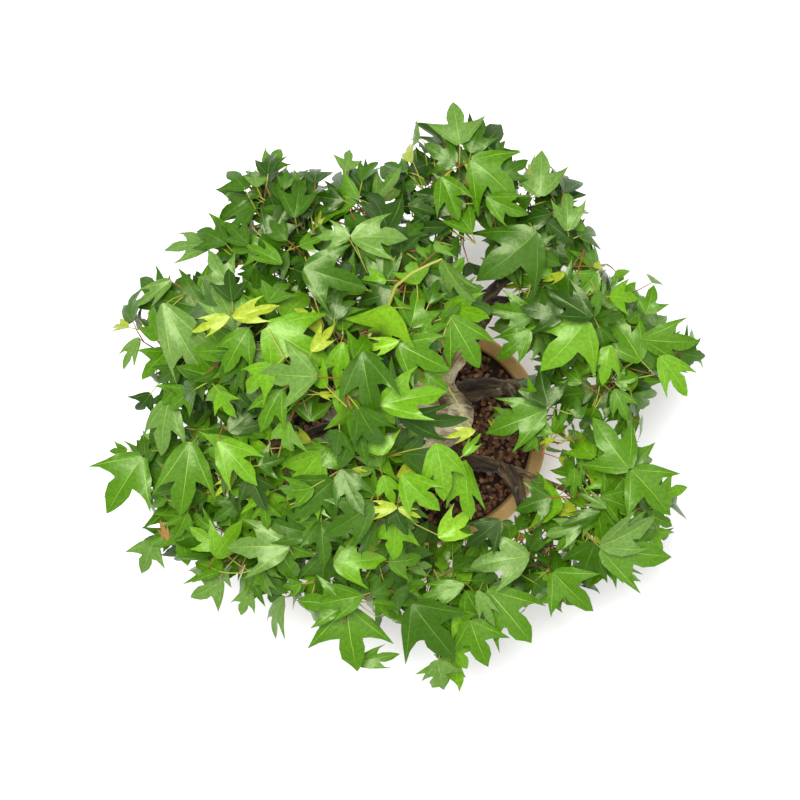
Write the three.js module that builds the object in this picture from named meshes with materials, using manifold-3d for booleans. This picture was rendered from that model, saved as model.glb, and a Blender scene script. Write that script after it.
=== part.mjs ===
// A trident maple bonsai in an oval ceramic pot: pot, soil, trunk, boughs and leafy masses.
// Millimetres, +Z up. The origin is the middle of the pot's flat underside, +X runs along
// the pot's long side and +Y to the back of the tree.
import * as THREE from "three";
import { mergeVertices } from "three/addons/utils/BufferGeometryUtils.js";
import Module from "manifold-3d";

const wasm = await Module();
wasm.setup();

// Clear space between two neighbouring pieces.
const GAP = 0.3;
const SHORTEST_EDGE = 0.01;

// The pot is a round pot's profile pulled apart along X by its straight sides.
const POT = { endRadius: 90, straight: 73, height: 72, rim: 11, floor: 12, sides: 28 };
const FOOT = { radius: 68, height: 6, channelWidth: 18, channelHeight: 5 };
const DRAIN = { x: 46, radius: 7, sides: 16 };
const SOIL = { level: 64, edgeDrop: 3, flatRadius: 58 };

// The trunk's stations from below the soil to its tip: x, y, z and radius.
const TRUNK = {
  stations: [
    [4, 4, 40, 31],
    [6, 5, 64, 30],
    [20, 8, 98, 28],
    [37, 17, 138, 26.5],
    [20, 22, 182, 22.5],
    [-18, 24, 222, 18.5],
    [-44, 32, 262, 13],
    [-38, 44, 298, 7],
  ],
  sides: 14,
  steps: 26,
};
// Surface roots: how many, how far they spread at the soil and how high they climb the trunk.
const ROOTS = { count: 6, spread: 0.42, depth: 0.2, height: 15, turn: 0.4 };

// Each branch is a bough that ends in a leafy mass: its name, the limb it leaves and where, the
// mass's centre and size, and the bough's root radius and its bow, sway and arch.
const BRANCHES = [
  ["apex", "trunk", 1, [-36, 47, 334], [64, 64, 46]],
  ["top_east", "trunk", 0.9, [10, 84, 306], [64, 62, 46], 5.5, [-5, 3, 8]],
  ["top_west", "trunk", 0.88, [-92, 62, 296], [64, 62, 46], 6, [6, 3, 8]],
  ["top_south", "trunk", 0.74, [-26, -26, 284], [64, 62, 46], 7, [6, -3, 10]],
  ["west_high", "trunk", 0.78, [-86, -4, 262], [62, 60, 46], 7, [-6, 3, 6]],
  ["northwest", "trunk", 0.82, [-138, 69, 240], [65, 64, 46], 8, [8, -4, 14]],
  ["west", "trunk", 0.36, [-149, -31, 200], [69, 68, 48], 12, [-8, 6, 6]],
  ["southwest", "trunk", 0.66, [-100, -70, 212], [67, 66, 48], 9.5, [8, -5, 14]],
  ["front", "trunk", 0.55, [-32, -96, 210], [67, 67, 48], 8.5, [-6, 4, 14]],
  ["south", "trunk", 0.3, [40, -127, 168], [67, 67, 46], 8.5, [-10, 6, 6]],
  ["southeast", "trunk", 0.24, [164, -52, 162], [69, 67, 46], 10, [-7, -2, 4]],
  ["south_low", "southeast", 0.8, [116, -90, 152], [58, 57, 40], 5.5, [2, 1, 2]],
  ["east", "trunk", 0.42, [170, 61, 168], [69, 67, 46], 11, [8, 4, 6]],
  ["inner_east", "east", 0.62, [104, 6, 180], [54, 46, 36], 4.5, [2, 1, 2]],
  ["north", "trunk", 0.46, [47, 174, 232], [64, 63, 46], 12.5, [-13, 8, 8]],
  ["northeast", "north", 0.6, [127, 106, 206], [60, 59, 44], 8, [12, -2, 3]],
  ["north_right", "north", 0.74, [104, 157, 222], [58, 57, 42], 5.5, [-4, 2, 4]],
  ["back", "trunk", 0.64, [-16, 144, 254], [64, 63, 46], 9, [6, 4, 12]],
  ["back_left", "trunk", 0.8, [-75, 145, 256], [64, 63, 46], 8, [-6, 4, 12]],
].map(([name, on, at, centre, size, root, bend]) => ({ name, on, at, centre, size, root, bend }));
const BOUGH = { sides: 6, steps: 7, entry: 0.36, tipRadius: 3.2, collar: 0.3, collarLength: 9 };

// Twigs and leaves: a stem goes to the heart of the mass, shoots leave it all round, and each
// shoot carries leaves at its end and half way.
const STEM = { radius: 2.9, tipRadius: 2.4, heart: 0.12 };
const SHOOT = {
  count: 6,
  radius: 1.15,
  reach: 0.46,
  sag: 6,
  lowest: -0.5,
  highest: 1.4,
  // Where leaves leave a shoot along its length, and how far to the side they point.
  nodes: [
    [0.85, 0.8],
    [0.62, -1.4],
    [0.4, 1.6],
  ],
};
const LEAF = {
  length: 57,
  spread: 0.2,
  shrink: 0.35,
  thickness: 1.5,
  stalk: 13,
  stalkRadius: 0.5,
  droop: 0.16,
  tries: 30,
  // How far a tip may stray beyond its own side of the space between two masses.
  stray: 12,
  limit: 1.08,
};
const GOLDEN_ANGLE = Math.PI * (3 - Math.sqrt(5));

// The crown is open above the pot's right half and where bark shows, as upright oval wells.
const WELLS = [
  { x: 74, y: 53, halfX: 29, halfY: 23 },
  { x: 44, y: 28, halfX: 23, halfY: 36 },
  { x: 80, y: -32, halfX: 32, halfY: 32 },
  { x: -50, y: 18, halfX: 15, halfY: 14 },
  { x: 2, y: -20, halfX: 14, halfY: 9 },
];
const LIMB_CLEARANCE = 1.8;

const UP = new THREE.Vector3(0, 0, 1);
const EAST = new THREE.Vector3(1, 0, 0);
const vector = (values) => new THREE.Vector3(values[0], values[1], values[2]);

// A repeatable row of random numbers from 0 to 1.
function dice(seed) {
  let state = seed;
  return () => {
    state = (state * 16807) % 2147483647;
    return state / 2147483647;
  };
}

// A closed geometry as a solid that can be joined and cut.
function solid(geometry) {
  const bare = geometry.index ? geometry.toNonIndexed() : geometry.clone();
  bare.deleteAttribute("normal");
  bare.deleteAttribute("uv");
  const merged = mergeVertices(bare, 1e-4);
  return new wasm.Manifold(
    new wasm.Mesh({
      numProp: 3,
      vertProperties: merged.attributes.position.array,
      triVerts: new Uint32Array(merged.index.array),
    }),
  );
}

function geometryOf(body) {
  const mesh = body.getMesh();
  return new THREE.BufferGeometry()
    .setAttribute("position", new THREE.BufferAttribute(mesh.vertProperties, 3))
    .setIndex(new THREE.BufferAttribute(mesh.triVerts, 1));
}

function faceted(points, faces) {
  return new THREE.BufferGeometry()
    .setAttribute("position", new THREE.Float32BufferAttribute(points.flatMap((p) => p.toArray()), 3))
    .setIndex(faces.flat());
}

// Catmull-Rom interpolation over evenly spaced stations of numbers.
function along(stations, t) {
  const last = stations.length - 1;
  const place = Math.min(Math.max(t, 0), 1) * last;
  const i = Math.min(Math.floor(place), last - 1);
  const u = place - i;
  const [a, b, c, d] = [i - 1, i, i + 1, i + 2].map((k) => stations[Math.min(Math.max(k, 0), last)]);
  return b.map(
    (_, k) =>
      0.5 *
      (2 * b[k] +
        (c[k] - a[k]) * u +
        (2 * a[k] - 5 * b[k] + 4 * c[k] - d[k]) * u * u +
        (3 * b[k] - a[k] - 3 * c[k] + d[k]) * u * u * u),
  );
}

// A limb is a function from 0 at its root to 1 at its tip, giving a point and a radius.
function trunkLimb() {
  return (t) => {
    const [x, y, z, radius] = along(TRUNK.stations, t);
    return { point: new THREE.Vector3(x, y, z), radius };
  };
}

function boughLimb(branch, parent) {
  const start = parent(branch.at).point;
  const centre = vector(branch.centre);
  const tip = centre.clone().lerp(start, BOUGH.entry);
  const run = tip.clone().sub(start);
  const side = new THREE.Vector3().crossVectors(UP, run).normalize();
  const length = run.length();
  const [bow, sway, arch] = branch.bend;
  return (t) => {
    const point = start
      .clone()
      .addScaledVector(run, t)
      .addScaledVector(side, bow * Math.sin(Math.PI * t) + sway * Math.sin(2 * Math.PI * t))
      .addScaledVector(UP, arch * Math.sin(Math.PI * t));
    const collar = BOUGH.collar * Math.exp((-t * length) / BOUGH.collarLength);
    const radius = (branch.root + (BOUGH.tipRadius - branch.root) * t ** 0.85) * (1 + collar);
    return { point, radius };
  };
}

function direction(limb, t) {
  const step = 0.01;
  return limb(Math.min(t + step, 1)).point.sub(limb(Math.max(t - step, 0)).point).normalize();
}

// Two unit vectors square to a limb, carried along it without twist.
function crossAxes(limb, steps) {
  let across = new THREE.Vector3(1, 0, 0);
  return Array.from({ length: steps + 1 }, (_, i) => {
    const ahead = direction(limb, i / steps);
    across = across.clone().addScaledVector(ahead, -across.dot(ahead)).normalize();
    return [across, new THREE.Vector3().crossVectors(ahead, across)];
  });
}

// A cylinder bent and tapered along a limb. swell(t, angle, point) scales the radius.
function limbSolid(limb, sides, steps, extra = 0, swell = () => 1) {
  const geometry = new THREE.CylinderGeometry(1, 1, 1, sides, steps);
  const axes = crossAxes(limb, steps);
  const position = geometry.attributes.position;
  for (let i = 0; i < position.count; i += 1) {
    const row = Math.round((position.getY(i) + 0.5) * steps);
    const { point, radius } = limb(row / steps);
    const [x, z] = [position.getX(i), position.getZ(i)];
    const angle = Math.atan2(z, x);
    const reach = Math.hypot(x, z) * (radius * swell(angle, point) + extra);
    const [a, b] = axes[row];
    point.addScaledVector(a, Math.cos(angle) * reach).addScaledVector(b, -Math.sin(angle) * reach);
    position.setXYZ(i, point.x, point.y, point.z);
  }
  return solid(geometry);
}

function rootFlare(angle, point) {
  const fade = Math.exp(-Math.max(point.z - SOIL.level, 0) / ROOTS.height);
  return 1 + fade * (ROOTS.spread + ROOTS.depth * Math.cos(ROOTS.count * angle + ROOTS.turn));
}

// A box with its lowest corner and size given.
function box(low, size) {
  const geometry = new THREE.BoxGeometry(...size);
  return solid(geometry.translate(...low.map((v, i) => v + size[i] / 2)));
}

// A turned profile of [radius, height] pairs, pulled apart along X into an oval.
function oval(profile) {
  const points = profile.map(([radius, height]) => new THREE.Vector2(radius, height));
  const halfStep = Math.PI / POT.sides;
  const geometry = new THREE.LatheGeometry(points, POT.sides, halfStep).rotateX(Math.PI / 2);
  const position = geometry.attributes.position;
  for (let i = 0; i < position.count; i += 1) {
    const x = position.getX(i);
    if (Math.abs(x) > 1e-6) position.setX(i, x + (Math.sign(x) * POT.straight) / 2);
  }
  return solid(geometry);
}

function potSolid() {
  const { endRadius: r, height: h, rim, floor } = POT;
  const shell = oval([
    [0, 0],
    [FOOT.radius, 0],
    [FOOT.radius + 2, FOOT.height],
    [r - 11, FOOT.height + 12],
    [r - 6, h - 30],
    [r - 4.5, h - 11],
    [r - 0.8, h - 8],
    [r, h - 2.5],
    [r - 2.5, h],
    [r - rim + 1, h],
    [r - rim, h - 1.5],
    [r - rim - 1, h - 30],
    [r - rim - 8, floor + 3],
    [r - rim - 14, floor],
    [0, floor],
  ]);
  const cuts = [-1, 1].flatMap((side) => [
    box(
      [side * DRAIN.x - FOOT.channelWidth / 2, -r, -1],
      [FOOT.channelWidth, 2 * r, FOOT.channelHeight + 1],
    ),
    solid(
      new THREE.CylinderGeometry(DRAIN.radius, DRAIN.radius, 3 * floor, DRAIN.sides)
        .rotateX(Math.PI / 2)
        .translate(side * DRAIN.x, 0, 0),
    ),
  ]);
  return shell.subtract(wasm.Manifold.union(cuts));
}

function soilSolid() {
  const { endRadius: r, height: h, rim, floor } = POT;
  const clear = 0.5;
  return oval([
    [0, floor + GAP],
    [r - rim - 14 - clear, floor + GAP],
    [r - rim - 8 - clear, floor + 3 + GAP],
    [r - rim - 1 - clear, h - 30],
    [r - rim - 0.6 - clear, SOIL.level - SOIL.edgeDrop],
    [SOIL.flatRadius, SOIL.level],
    [0, SOIL.level],
  ]);
}

function trunkSolid(limb, extra = 0) {
  const whole = limbSolid(limb, TRUNK.sides, TRUNK.steps, extra, rootFlare);
  const [wide, deep] = [400, 200];
  const ground = SOIL.level + GAP;
  return whole.subtract(box([-wide / 2, -wide / 2, ground - deep], [wide, wide, deep]));
}

// Rings of three points, left, right and top, round the stations of a twig or stalk, which run
// down from its tip. Each ring halves the bend there; "onward" is what follows the tip.
function rings(stations, across, onward = stations[0][0]) {
  let left = across;
  return stations.flatMap(([point, radius], i) => {
    const next = i === 0 ? onward : stations[i - 1][0];
    const before = i === stations.length - 1 ? point : stations[i + 1][0];
    const ahead = next.clone().sub(point).normalize();
    ahead.add(point.clone().sub(before).normalize()).normalize();
    left = left.clone().addScaledVector(ahead, -left.dot(ahead)).normalize();
    const high = new THREE.Vector3().crossVectors(left, ahead);
    return [210, 330, 90].map((degrees) => {
      const angle = (degrees * Math.PI) / 180;
      return point
        .clone()
        .addScaledVector(left, Math.cos(angle) * radius)
        .addScaledVector(high, Math.sin(angle) * radius);
    });
  });
}

// The faces between rings, from the one numbered "first" down to the root, and the root's cap.
function ringFaces(first, count) {
  const faces = [];
  for (let row = 0; row < count - 1; row += 1) {
    for (const [i, j] of [[0, 1], [1, 2], [2, 0]]) {
      const [p, q] = [first + row * 3 + i, first + row * 3 + j];
      faces.push([p, q, q + 3], [p, q + 3, p + 3]);
    }
  }
  const root = first + (count - 1) * 3;
  faces.push([root, root + 1, root + 2]);
  return faces;
}

// A bare three-sided twig through [point, radius] stations, from its tip down to its root.
function rod(stations) {
  const ahead = stations[0][0].clone().sub(stations[stations.length - 1][0]).normalize();
  const across = new THREE.Vector3().crossVectors(ahead, Math.abs(ahead.z) > 0.9 ? EAST : UP);
  const faces = [[0, 2, 1], ...ringFaces(0, stations.length)];
  return solid(faceted(rings(stations, across), faces));
}

// A leaf's outline across and along its blade, from the right of its base round to the left.
const OUTLINE = [
  [0.05, 0],
  [0.55, 0.54],
  [0.23, 0.5],
  [0, 1],
  [-0.23, 0.5],
  [-0.55, 0.54],
  [-0.05, 0],
];
const LEAF_MIDDLE = 0.36;

// The faces of a leaf: points 0 to 6 are its outline, 7 is above the midrib, 8 below it and 9
// above the base. 10, 11 and 12 are the left, right and top of the stalk's nearest ring.
const BLADE_FACES = [
  ...[0, 1, 2, 3, 4, 5].flatMap((i) => [
    [7, i, i + 1],
    [8, i + 1, i],
  ]),
  [7, 6, 9],
  [7, 9, 0],
  [8, 0, 6],
];
const LEAF_FACES = [
  ...BLADE_FACES,
  ...[
    [6, 0, 11, 10],
    [0, 9, 12, 11],
    [9, 6, 10, 12],
  ].flatMap(([a, b, c, d]) => [
    [a, b, c],
    [a, c, d],
  ]),
];

// A trident leaf as one closed shape with its stalk, whose stations run from the leaf down.
// A leaf at the end of a shoot takes in the shoot.
function leafShape(stalk, base, ahead, face, length) {
  const across = new THREE.Vector3().crossVectors(ahead, face);
  const at = (x, y, z) =>
    base
      .clone()
      .addScaledVector(across, x * length)
      .addScaledVector(ahead, y * length)
      .addScaledVector(face, z);
  const sag = (x, y) => -LEAF.droop * length * (x * x * 2 + y * y * 0.8);
  const rim = OUTLINE.map(([x, y]) => at(x, y, sag(x, y)));
  const points = [
    ...rim,
    at(0, LEAF_MIDDLE, LEAF.thickness / 2),
    at(0, LEAF_MIDDLE, -LEAF.thickness / 2),
    at(0, 0, LEAF.thickness * 0.7),
    ...rings(stalk, across, base),
  ];
  return {
    rim,
    middle: at(0, LEAF_MIDDLE, 0),
    box: new THREE.Box3().setFromPoints(points),
    body: solid(faceted(points, [...LEAF_FACES, ...ringFaces(10, stalk.length)])),
    blade: solid(faceted(points.slice(0, 10), [...BLADE_FACES, [6, 0, 9]])),
  };
}

// True where a mass keeps a point: within its own rounded space, out of the wells and nearer
// to it than to any other mass by a margin.
function keeps(mass, point, margin, limit = 1) {
  const power = (m) => point.distanceToSquared(m.middle) - m.size.x * m.size.x;
  const own = power(mass);
  const share = point.clone().sub(mass.middle).divide(mass.size).length();
  const inWell = WELLS.some(
    (well) => Math.hypot((point.x - well.x) / well.halfX, (point.y - well.y) / well.halfY) < 1,
  );
  const room = masses.every(
    (m) => m === mass || power(m) - own > 2 * margin * m.middle.distanceTo(mass.middle),
  );
  return room && share < limit && !inWell;
}

// Points spread over a line from a to b.
function between(a, b, count) {
  return Array.from({ length: count + 1 }, (_, i) => a.clone().lerp(b, i / count));
}

// True if any of these points is within a margin of a trunk or bough.
function nearLimb(points, margin) {
  return limbSamples.some((s) => points.some((p) => p.distanceTo(s.point) < s.radius + margin));
}

// A unit vector at an azimuth and a height above level, both in radians.
function heading(azimuth, rise) {
  const level = Math.cos(rise);
  return new THREE.Vector3(Math.cos(azimuth) * level, Math.sin(azimuth) * level, Math.sin(rise));
}

// True if a body keeps clear of every limb and of all that other masses hold so far.
function keepsApart(mass, body, box) {
  return placed.every(
    (other) =>
      other.mass === mass || !other.box.intersectsBox(box) || other.body.minGap(body, 1) > GAP,
  );
}

// True if a leaf doesn't cross its own mass's other twigs and leaves.
function isFree(mass, made, shoot) {
  return placed.every((other) => {
    if (other.mass !== mass || other === shoot || !other.box.intersectsBox(made.box)) return true;
    return other.body.intersect(other.twig ? made.blade : made.body).isEmpty();
  });
}

// A leaf on its stalk, which grows from the side of a shoot or carries the shoot on. It turns
// and shrinks until it is clear of the limbs, the other masses, the twigs and the leaves
// before it, and is left out if that fails.
function growLeaf(mass, stalk, azimuth, roll, shoot) {
  const node = stalk[0][0];
  for (let n = 0; n < LEAF.tries; n += 1) {
    const share = n / LEAF.tries;
    const turned = azimuth + (roll() - 0.5) * Math.PI * (0.4 + (shoot ? 0.4 : 1.4) * share);
    const length = LEAF.length * (1 + (0.5 - roll()) * LEAF.spread - LEAF.shrink * share);
    const stalkAhead = heading(turned, 0.1 + roll() * 0.7);
    const base = node.clone().addScaledVector(stalkAhead, LEAF.stalk * (0.6 + 0.9 * roll()));
    const ahead = heading(turned + (roll() - 0.5) * 0.7, -0.1 - roll() * 0.45);
    const face = heading(turned + (roll() - 0.5) * 2, 0.8 + roll() * 0.6);
    face.addScaledVector(ahead, -face.dot(ahead)).normalize();
    const made = leafShape(stalk, base, ahead, face, length);
    const halfway = made.rim.map((p) => p.clone().lerp(made.middle, 0.5));
    if (!keeps(mass, made.middle, 1)) continue;
    if (!made.rim.every((p) => keeps(mass, p, -LEAF.stray, LEAF.limit))) continue;
    if (nearLimb([...made.rim, ...halfway, ...between(node, base, 3)], LIMB_CLEARANCE)) continue;
    if (!isFree(mass, made, shoot) || !keepsApart(mass, made.body, made.box)) continue;
    if (shoot) Object.assign(shoot, { body: made.body, box: made.box });
    else placed.push({ ...made, mass, twig: false });
    return;
  }
}

// How far a mass keeps its own space from its middle outward, in one direction.
function depth(mass, way) {
  let far = 10;
  while (keeps(mass, mass.middle.clone().addScaledVector(way, far + 2), 1)) far += 2;
  return far;
}

// A twig through its stations, or null if it comes too near to a limb or another mass.
function growTwig(mass, stations) {
  const box = new THREE.Box3().setFromPoints(stations.map(([p]) => p)).expandByScalar(4);
  const twig = { body: rod(stations), box, mass, twig: true };
  if (!keepsApart(mass, twig.body, box)) return null;
  placed.push(twig);
  return twig;
}

// The stem and the shoots of a mass.
function growTwigs(mass, index) {
  const tip = mass.limb(1);
  const ahead = direction(mass.limb, 1);
  const heart = mass.middle.clone().addScaledVector(UP, STEM.heart * mass.size.z);
  let [foot, bend, stem] = [null, null, null];
  for (let clear = GAP; !stem; clear += 0.05) {
    foot = tip.point.clone().addScaledVector(ahead, clear);
    bend = foot.clone().lerp(heart, 0.5).addScaledVector(ahead, 4);
    stem = growTwig(mass, [
      [heart, STEM.tipRadius],
      [bend, (STEM.radius + STEM.tipRadius) / 2],
      [foot, STEM.radius],
    ]);
  }
  mass.shoots = [];
  for (let k = 0; k < SHOOT.count; k += 1) {
    const share = (k + 0.5) / SHOOT.count;
    const azimuth = k * GOLDEN_ANGLE + index;
    const way = heading(azimuth, SHOOT.lowest + (SHOOT.highest - SHOOT.lowest) * share * share);
    const start = bend.clone().lerp(heart, share * 0.9);
    const end = mass.middle.clone().addScaledVector(way, depth(mass, way) * SHOOT.reach);
    const elbow = start.clone().lerp(end, 0.5).addScaledVector(UP, -SHOOT.sag * mass.roll());
    const tested = [...between(start, elbow, 3), ...between(elbow, end, 3)];
    if (!tested.every((p) => keeps(mass, p, SHOOT.radius + GAP))) continue;
    if (nearLimb(tested.slice(1), SHOOT.radius + GAP)) continue;
    const stations = [end, elbow, start].map((point) => [point, SHOOT.radius]);
    const twig = growTwig(mass, stations);
    if (twig) mass.shoots.push({ start, elbow, end, azimuth, stations, twig });
  }
}

// The leaves on the sides of the shoots.
function growSideLeaves(mass) {
  for (const { start, elbow, end, azimuth } of mass.shoots) {
    for (const [place, turn] of SHOOT.nodes) {
      const node =
        place < 0.5 ? start.clone().lerp(elbow, 2 * place) : elbow.clone().lerp(end, 2 * place - 1);
      growLeaf(mass, [[node, LEAF.stalkRadius]], azimuth + turn, mass.roll);
    }
  }
}

function largest(body) {
  return body.decompose().sort((p, q) => q.volume() - p.volume())[0];
}

// Every twig and leaf of a mass, joined into one body without its shortest edges.
function massSolid(mass) {
  const bodies = placed.filter((piece) => piece.mass === mass).map((piece) => piece.body);
  return largest(wasm.Manifold.union(bodies).simplify(SHORTEST_EDGE));
}

const BARK = new THREE.MeshStandardMaterial({ color: 0xa8977f, roughness: 0.9, metalness: 0 });
const DARK_BARK = new THREE.MeshStandardMaterial({ color: 0x5b5142, roughness: 0.92, metalness: 0 });
const LEAF_GREEN = new THREE.MeshStandardMaterial({ color: 0x5f9a2c, roughness: 0.5, metalness: 0 });
const POT_CLAY = new THREE.MeshStandardMaterial({ color: 0xc19258, roughness: 0.7, metalness: 0 });
const SOIL_GRIT = new THREE.MeshStandardMaterial({ color: 0x6d4535, roughness: 1, metalness: 0 });

const tree = new THREE.Group();

function add(name, body, material) {
  const mesh = new THREE.Mesh(geometryOf(body), material);
  mesh.name = name;
  tree.add(mesh);
}

const limbs = { trunk: trunkLimb() };
for (const branch of BRANCHES) {
  branch.middle = vector(branch.centre);
  branch.size = vector(branch.size);
  if (branch.root === undefined) {
    branch.limb = limbs[branch.on];
  } else {
    limbs[branch.name] = boughLimb(branch, limbs[branch.on]);
    branch.limb = limbs[branch.name];
  }
}
const masses = BRANCHES;
const limbSamples = Object.entries(limbs).flatMap(([name, limb]) =>
  Array.from({ length: 61 }, (_, i) => ({ limb: name, ...limb(i / 60) })),
);

add("pot", potSolid(), POT_CLAY);
add("soil", soilSolid(), SOIL_GRIT);

// What stands already: the limbs first, then each twig and leaf with the mass that holds it.
const placed = [];

function addLimb(name, body, material) {
  add(name, body, material);
  const { min, max } = body.boundingBox();
  placed.push({ body, box: new THREE.Box3(vector(min), vector(max)), mass: null });
}

addLimb("trunk", trunkSolid(limbs.trunk), BARK);
// A bough is cut where it meets the trunk and the boughs before it.
const standing = [trunkSolid(limbs.trunk, GAP * 1.15)];
for (const branch of BRANCHES.filter(({ root }) => root !== undefined)) {
  const limb = limbs[branch.name];
  const bough = limbSolid(limb, BOUGH.sides, BOUGH.steps).subtract(wasm.Manifold.union(standing));
  addLimb(`bough_${branch.name}`, largest(bough), DARK_BARK);
  standing.push(limbSolid(limb, BOUGH.sides, BOUGH.steps, GAP * 1.2));
}

masses.forEach((mass, index) => {
  mass.roll = dice(1000 + index * 77);
  growTwigs(mass, index);
});
for (const mass of masses) {
  for (const shoot of mass.shoots) {
    growLeaf(mass, shoot.stations, shoot.azimuth, mass.roll, shoot.twig);
  }
}
masses.forEach(growSideLeaves);
for (const mass of masses) add(`leaves_${mass.name}`, massSolid(mass), LEAF_GREEN);

export default tree;
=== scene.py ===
import math

import bmesh
import bpy
import numpy as np
from mathutils import Matrix, Vector, noise
from mathutils.bvhtree import BVHTree
from mathutils.kdtree import KDTree


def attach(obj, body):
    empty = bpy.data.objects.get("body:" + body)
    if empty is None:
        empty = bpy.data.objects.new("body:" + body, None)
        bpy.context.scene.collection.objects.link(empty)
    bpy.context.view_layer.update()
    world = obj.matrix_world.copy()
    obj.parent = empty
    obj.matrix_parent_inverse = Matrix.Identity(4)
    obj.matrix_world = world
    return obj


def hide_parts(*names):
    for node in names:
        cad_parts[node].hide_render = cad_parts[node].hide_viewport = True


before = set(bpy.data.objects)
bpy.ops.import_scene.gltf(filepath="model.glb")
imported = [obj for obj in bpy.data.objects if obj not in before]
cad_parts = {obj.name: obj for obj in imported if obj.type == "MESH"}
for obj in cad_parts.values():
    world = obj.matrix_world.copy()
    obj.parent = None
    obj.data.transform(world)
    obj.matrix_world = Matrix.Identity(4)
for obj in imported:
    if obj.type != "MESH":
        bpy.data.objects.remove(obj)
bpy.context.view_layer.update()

# Sizes are millimetres, in the frame of the solids, and become metres in each mesh.
MM = 0.001
UP = Vector((0, 0, 1))
EAST = Vector((1, 0, 0))

POT = {"end_radius": 90, "straight": 73, "height": 72, "rim": 11, "floor": 12}
FOOT = {"radius": 68, "height": 6, "channel_width": 18, "channel_height": 5}
DRAIN = {"x": 46, "radius": 7}
SOIL = {"level": 64, "edge_drop": 3, "flat_radius": 58, "edge_width": 21, "ripple": 0.6}
GRANULES = {"count": 3000, "smallest": 1.6, "largest": 2.9}
# Round the trunk's foot no granules lie.
BARE_FOOT = {"x": 5, "y": 4, "radius": 26}

TRUNK = [
    (4, 4, 40, 31),
    (6, 5, 64, 30),
    (20, 8, 98, 28),
    (37, 17, 138, 26.5),
    (20, 22, 182, 22.5),
    (-18, 24, 222, 18.5),
    (-44, 32, 262, 13),
    (-38, 44, 298, 7),
]
# The surface roots start inside the trunk at this middle and run out and down, veering a little.
ROOTS = {
    "count": 6, "turn": 0.4, "x": 6, "y": 5, "start": 16, "run": 34, "veer": 0.25, "top": 98, "drop": 40,
    "radius": 12, "taper": 6.5,
}
# Old cuts on the trunk, each where a line from this point in this direction meets the bark, and
# the radius of its ring.
KNOTS = [
    ((38, 28, 400), (0, 0, -1), 6.5),
    ((-46, 24, 400), (0, 0, -1), 4.5),
    ((30, -90, 120), (0, 1, 0), 7),
    ((-60, 10, 168), (1, 0.1, 0), 6),
    ((34, 110, 108), (0, -1, 0), 6.5),
    ((-10, -60, 205), (0, 1, 0), 5),
]

# Each branch is a bough that ends in a leafy mass: its name, the limb it leaves and where, the
# mass's centre and size, and the bough's root radius and its bow, sway and arch.
BRANCHES = [
    ("apex", "trunk", 1, (-36, 47, 334), (64, 64, 46)),
    ("top_east", "trunk", 0.9, (10, 84, 306), (64, 62, 46), 5.5, (-5, 3, 8)),
    ("top_west", "trunk", 0.88, (-92, 62, 296), (64, 62, 46), 6, (6, 3, 8)),
    ("top_south", "trunk", 0.74, (-26, -26, 284), (64, 62, 46), 7, (6, -3, 10)),
    ("west_high", "trunk", 0.78, (-86, -4, 262), (62, 60, 46), 7, (-6, 3, 6)),
    ("northwest", "trunk", 0.82, (-138, 69, 240), (65, 64, 46), 8, (8, -4, 14)),
    ("west", "trunk", 0.36, (-149, -31, 200), (69, 68, 48), 12, (-8, 6, 6)),
    ("southwest", "trunk", 0.66, (-100, -70, 212), (67, 66, 48), 9.5, (8, -5, 14)),
    ("front", "trunk", 0.55, (-32, -96, 210), (67, 67, 48), 8.5, (-6, 4, 14)),
    ("south", "trunk", 0.3, (40, -127, 168), (67, 67, 46), 8.5, (-10, 6, 6)),
    ("southeast", "trunk", 0.24, (164, -52, 162), (69, 67, 46), 10, (-7, -2, 4)),
    ("south_low", "southeast", 0.8, (116, -90, 152), (58, 57, 40), 5.5, (2, 1, 2)),
    ("east", "trunk", 0.42, (170, 61, 168), (69, 67, 46), 11, (8, 4, 6)),
    ("inner_east", "east", 0.62, (104, 6, 180), (54, 46, 36), 4.5, (2, 1, 2)),
    ("north", "trunk", 0.46, (47, 174, 232), (64, 63, 46), 12.5, (-13, 8, 8)),
    ("northeast", "north", 0.6, (127, 106, 206), (60, 59, 44), 8, (12, -2, 3)),
    ("north_right", "north", 0.74, (104, 157, 222), (58, 57, 42), 5.5, (-4, 2, 4)),
    ("back", "trunk", 0.64, (-16, 144, 254), (64, 63, 46), 9, (6, 4, 12)),
    ("back_left", "trunk", 0.8, (-75, 145, 256), (64, 63, 46), 8, (-6, 4, 12)),
]
# A knot's rim and the hollow in it: how high and deep they are, and their widths as shares of its
# radius.
KNOT = {"rim": 2.2, "rim_width": 0.3, "hollow": 4.4, "hollow_width": 0.55}
# Swellings and plates of bark: how long and how high, and the share of the limb's radius that they
# reach at most. Wrinkles are finer.
SWELL_SHARE, PLATE_SHARE = 0.26, 0.14
WRINKLE = {"height": 0.35, "width": 2.2, "stretch": 0.3}
TRUNK_RELIEF = {"swell": (26, 2.4), "plate": (12, 1.3)}
BOUGH_RELIEF = {"swell": (9, 2.2), "plate": (5, 1.1)}
BOUGH = {"entry": 0.36, "tip": 3.2, "collar": 0.3, "collar_length": 9}

STEM = {"root": 2.8, "middle": 2.1, "tip": 1.7, "heart": 0.12}
SHOOT = {"count": 6, "radius": 1.25, "tip": 0.8, "reach": 0.46, "sag": 6, "lowest": -0.5, "highest": 1.4}
# Where finer twigs leave a shoot, and how far to the side they turn.
TWIGS = [(0.3, 1.5), (0.5, -1.3), (0.7, 1.0), (0.88, -0.8)]
TWIG = {"length": 24, "radius": 0.75, "middle": 0.62, "tip": 0.5}
# How far shoots and twigs keep from the limbs, and shoots from the next mass.
SHOOT_GAP, TWIG_GAP = 1.5, 1.2
LEAF = {
    "length": 52, "spread": 0.5, "shrink": 0.45, "stalk": 15, "tries": 22, "stray": 16,
    "limit": 0.93, "straggle": 0.16, "gap": 1.2, "most": 10000,
}
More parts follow.
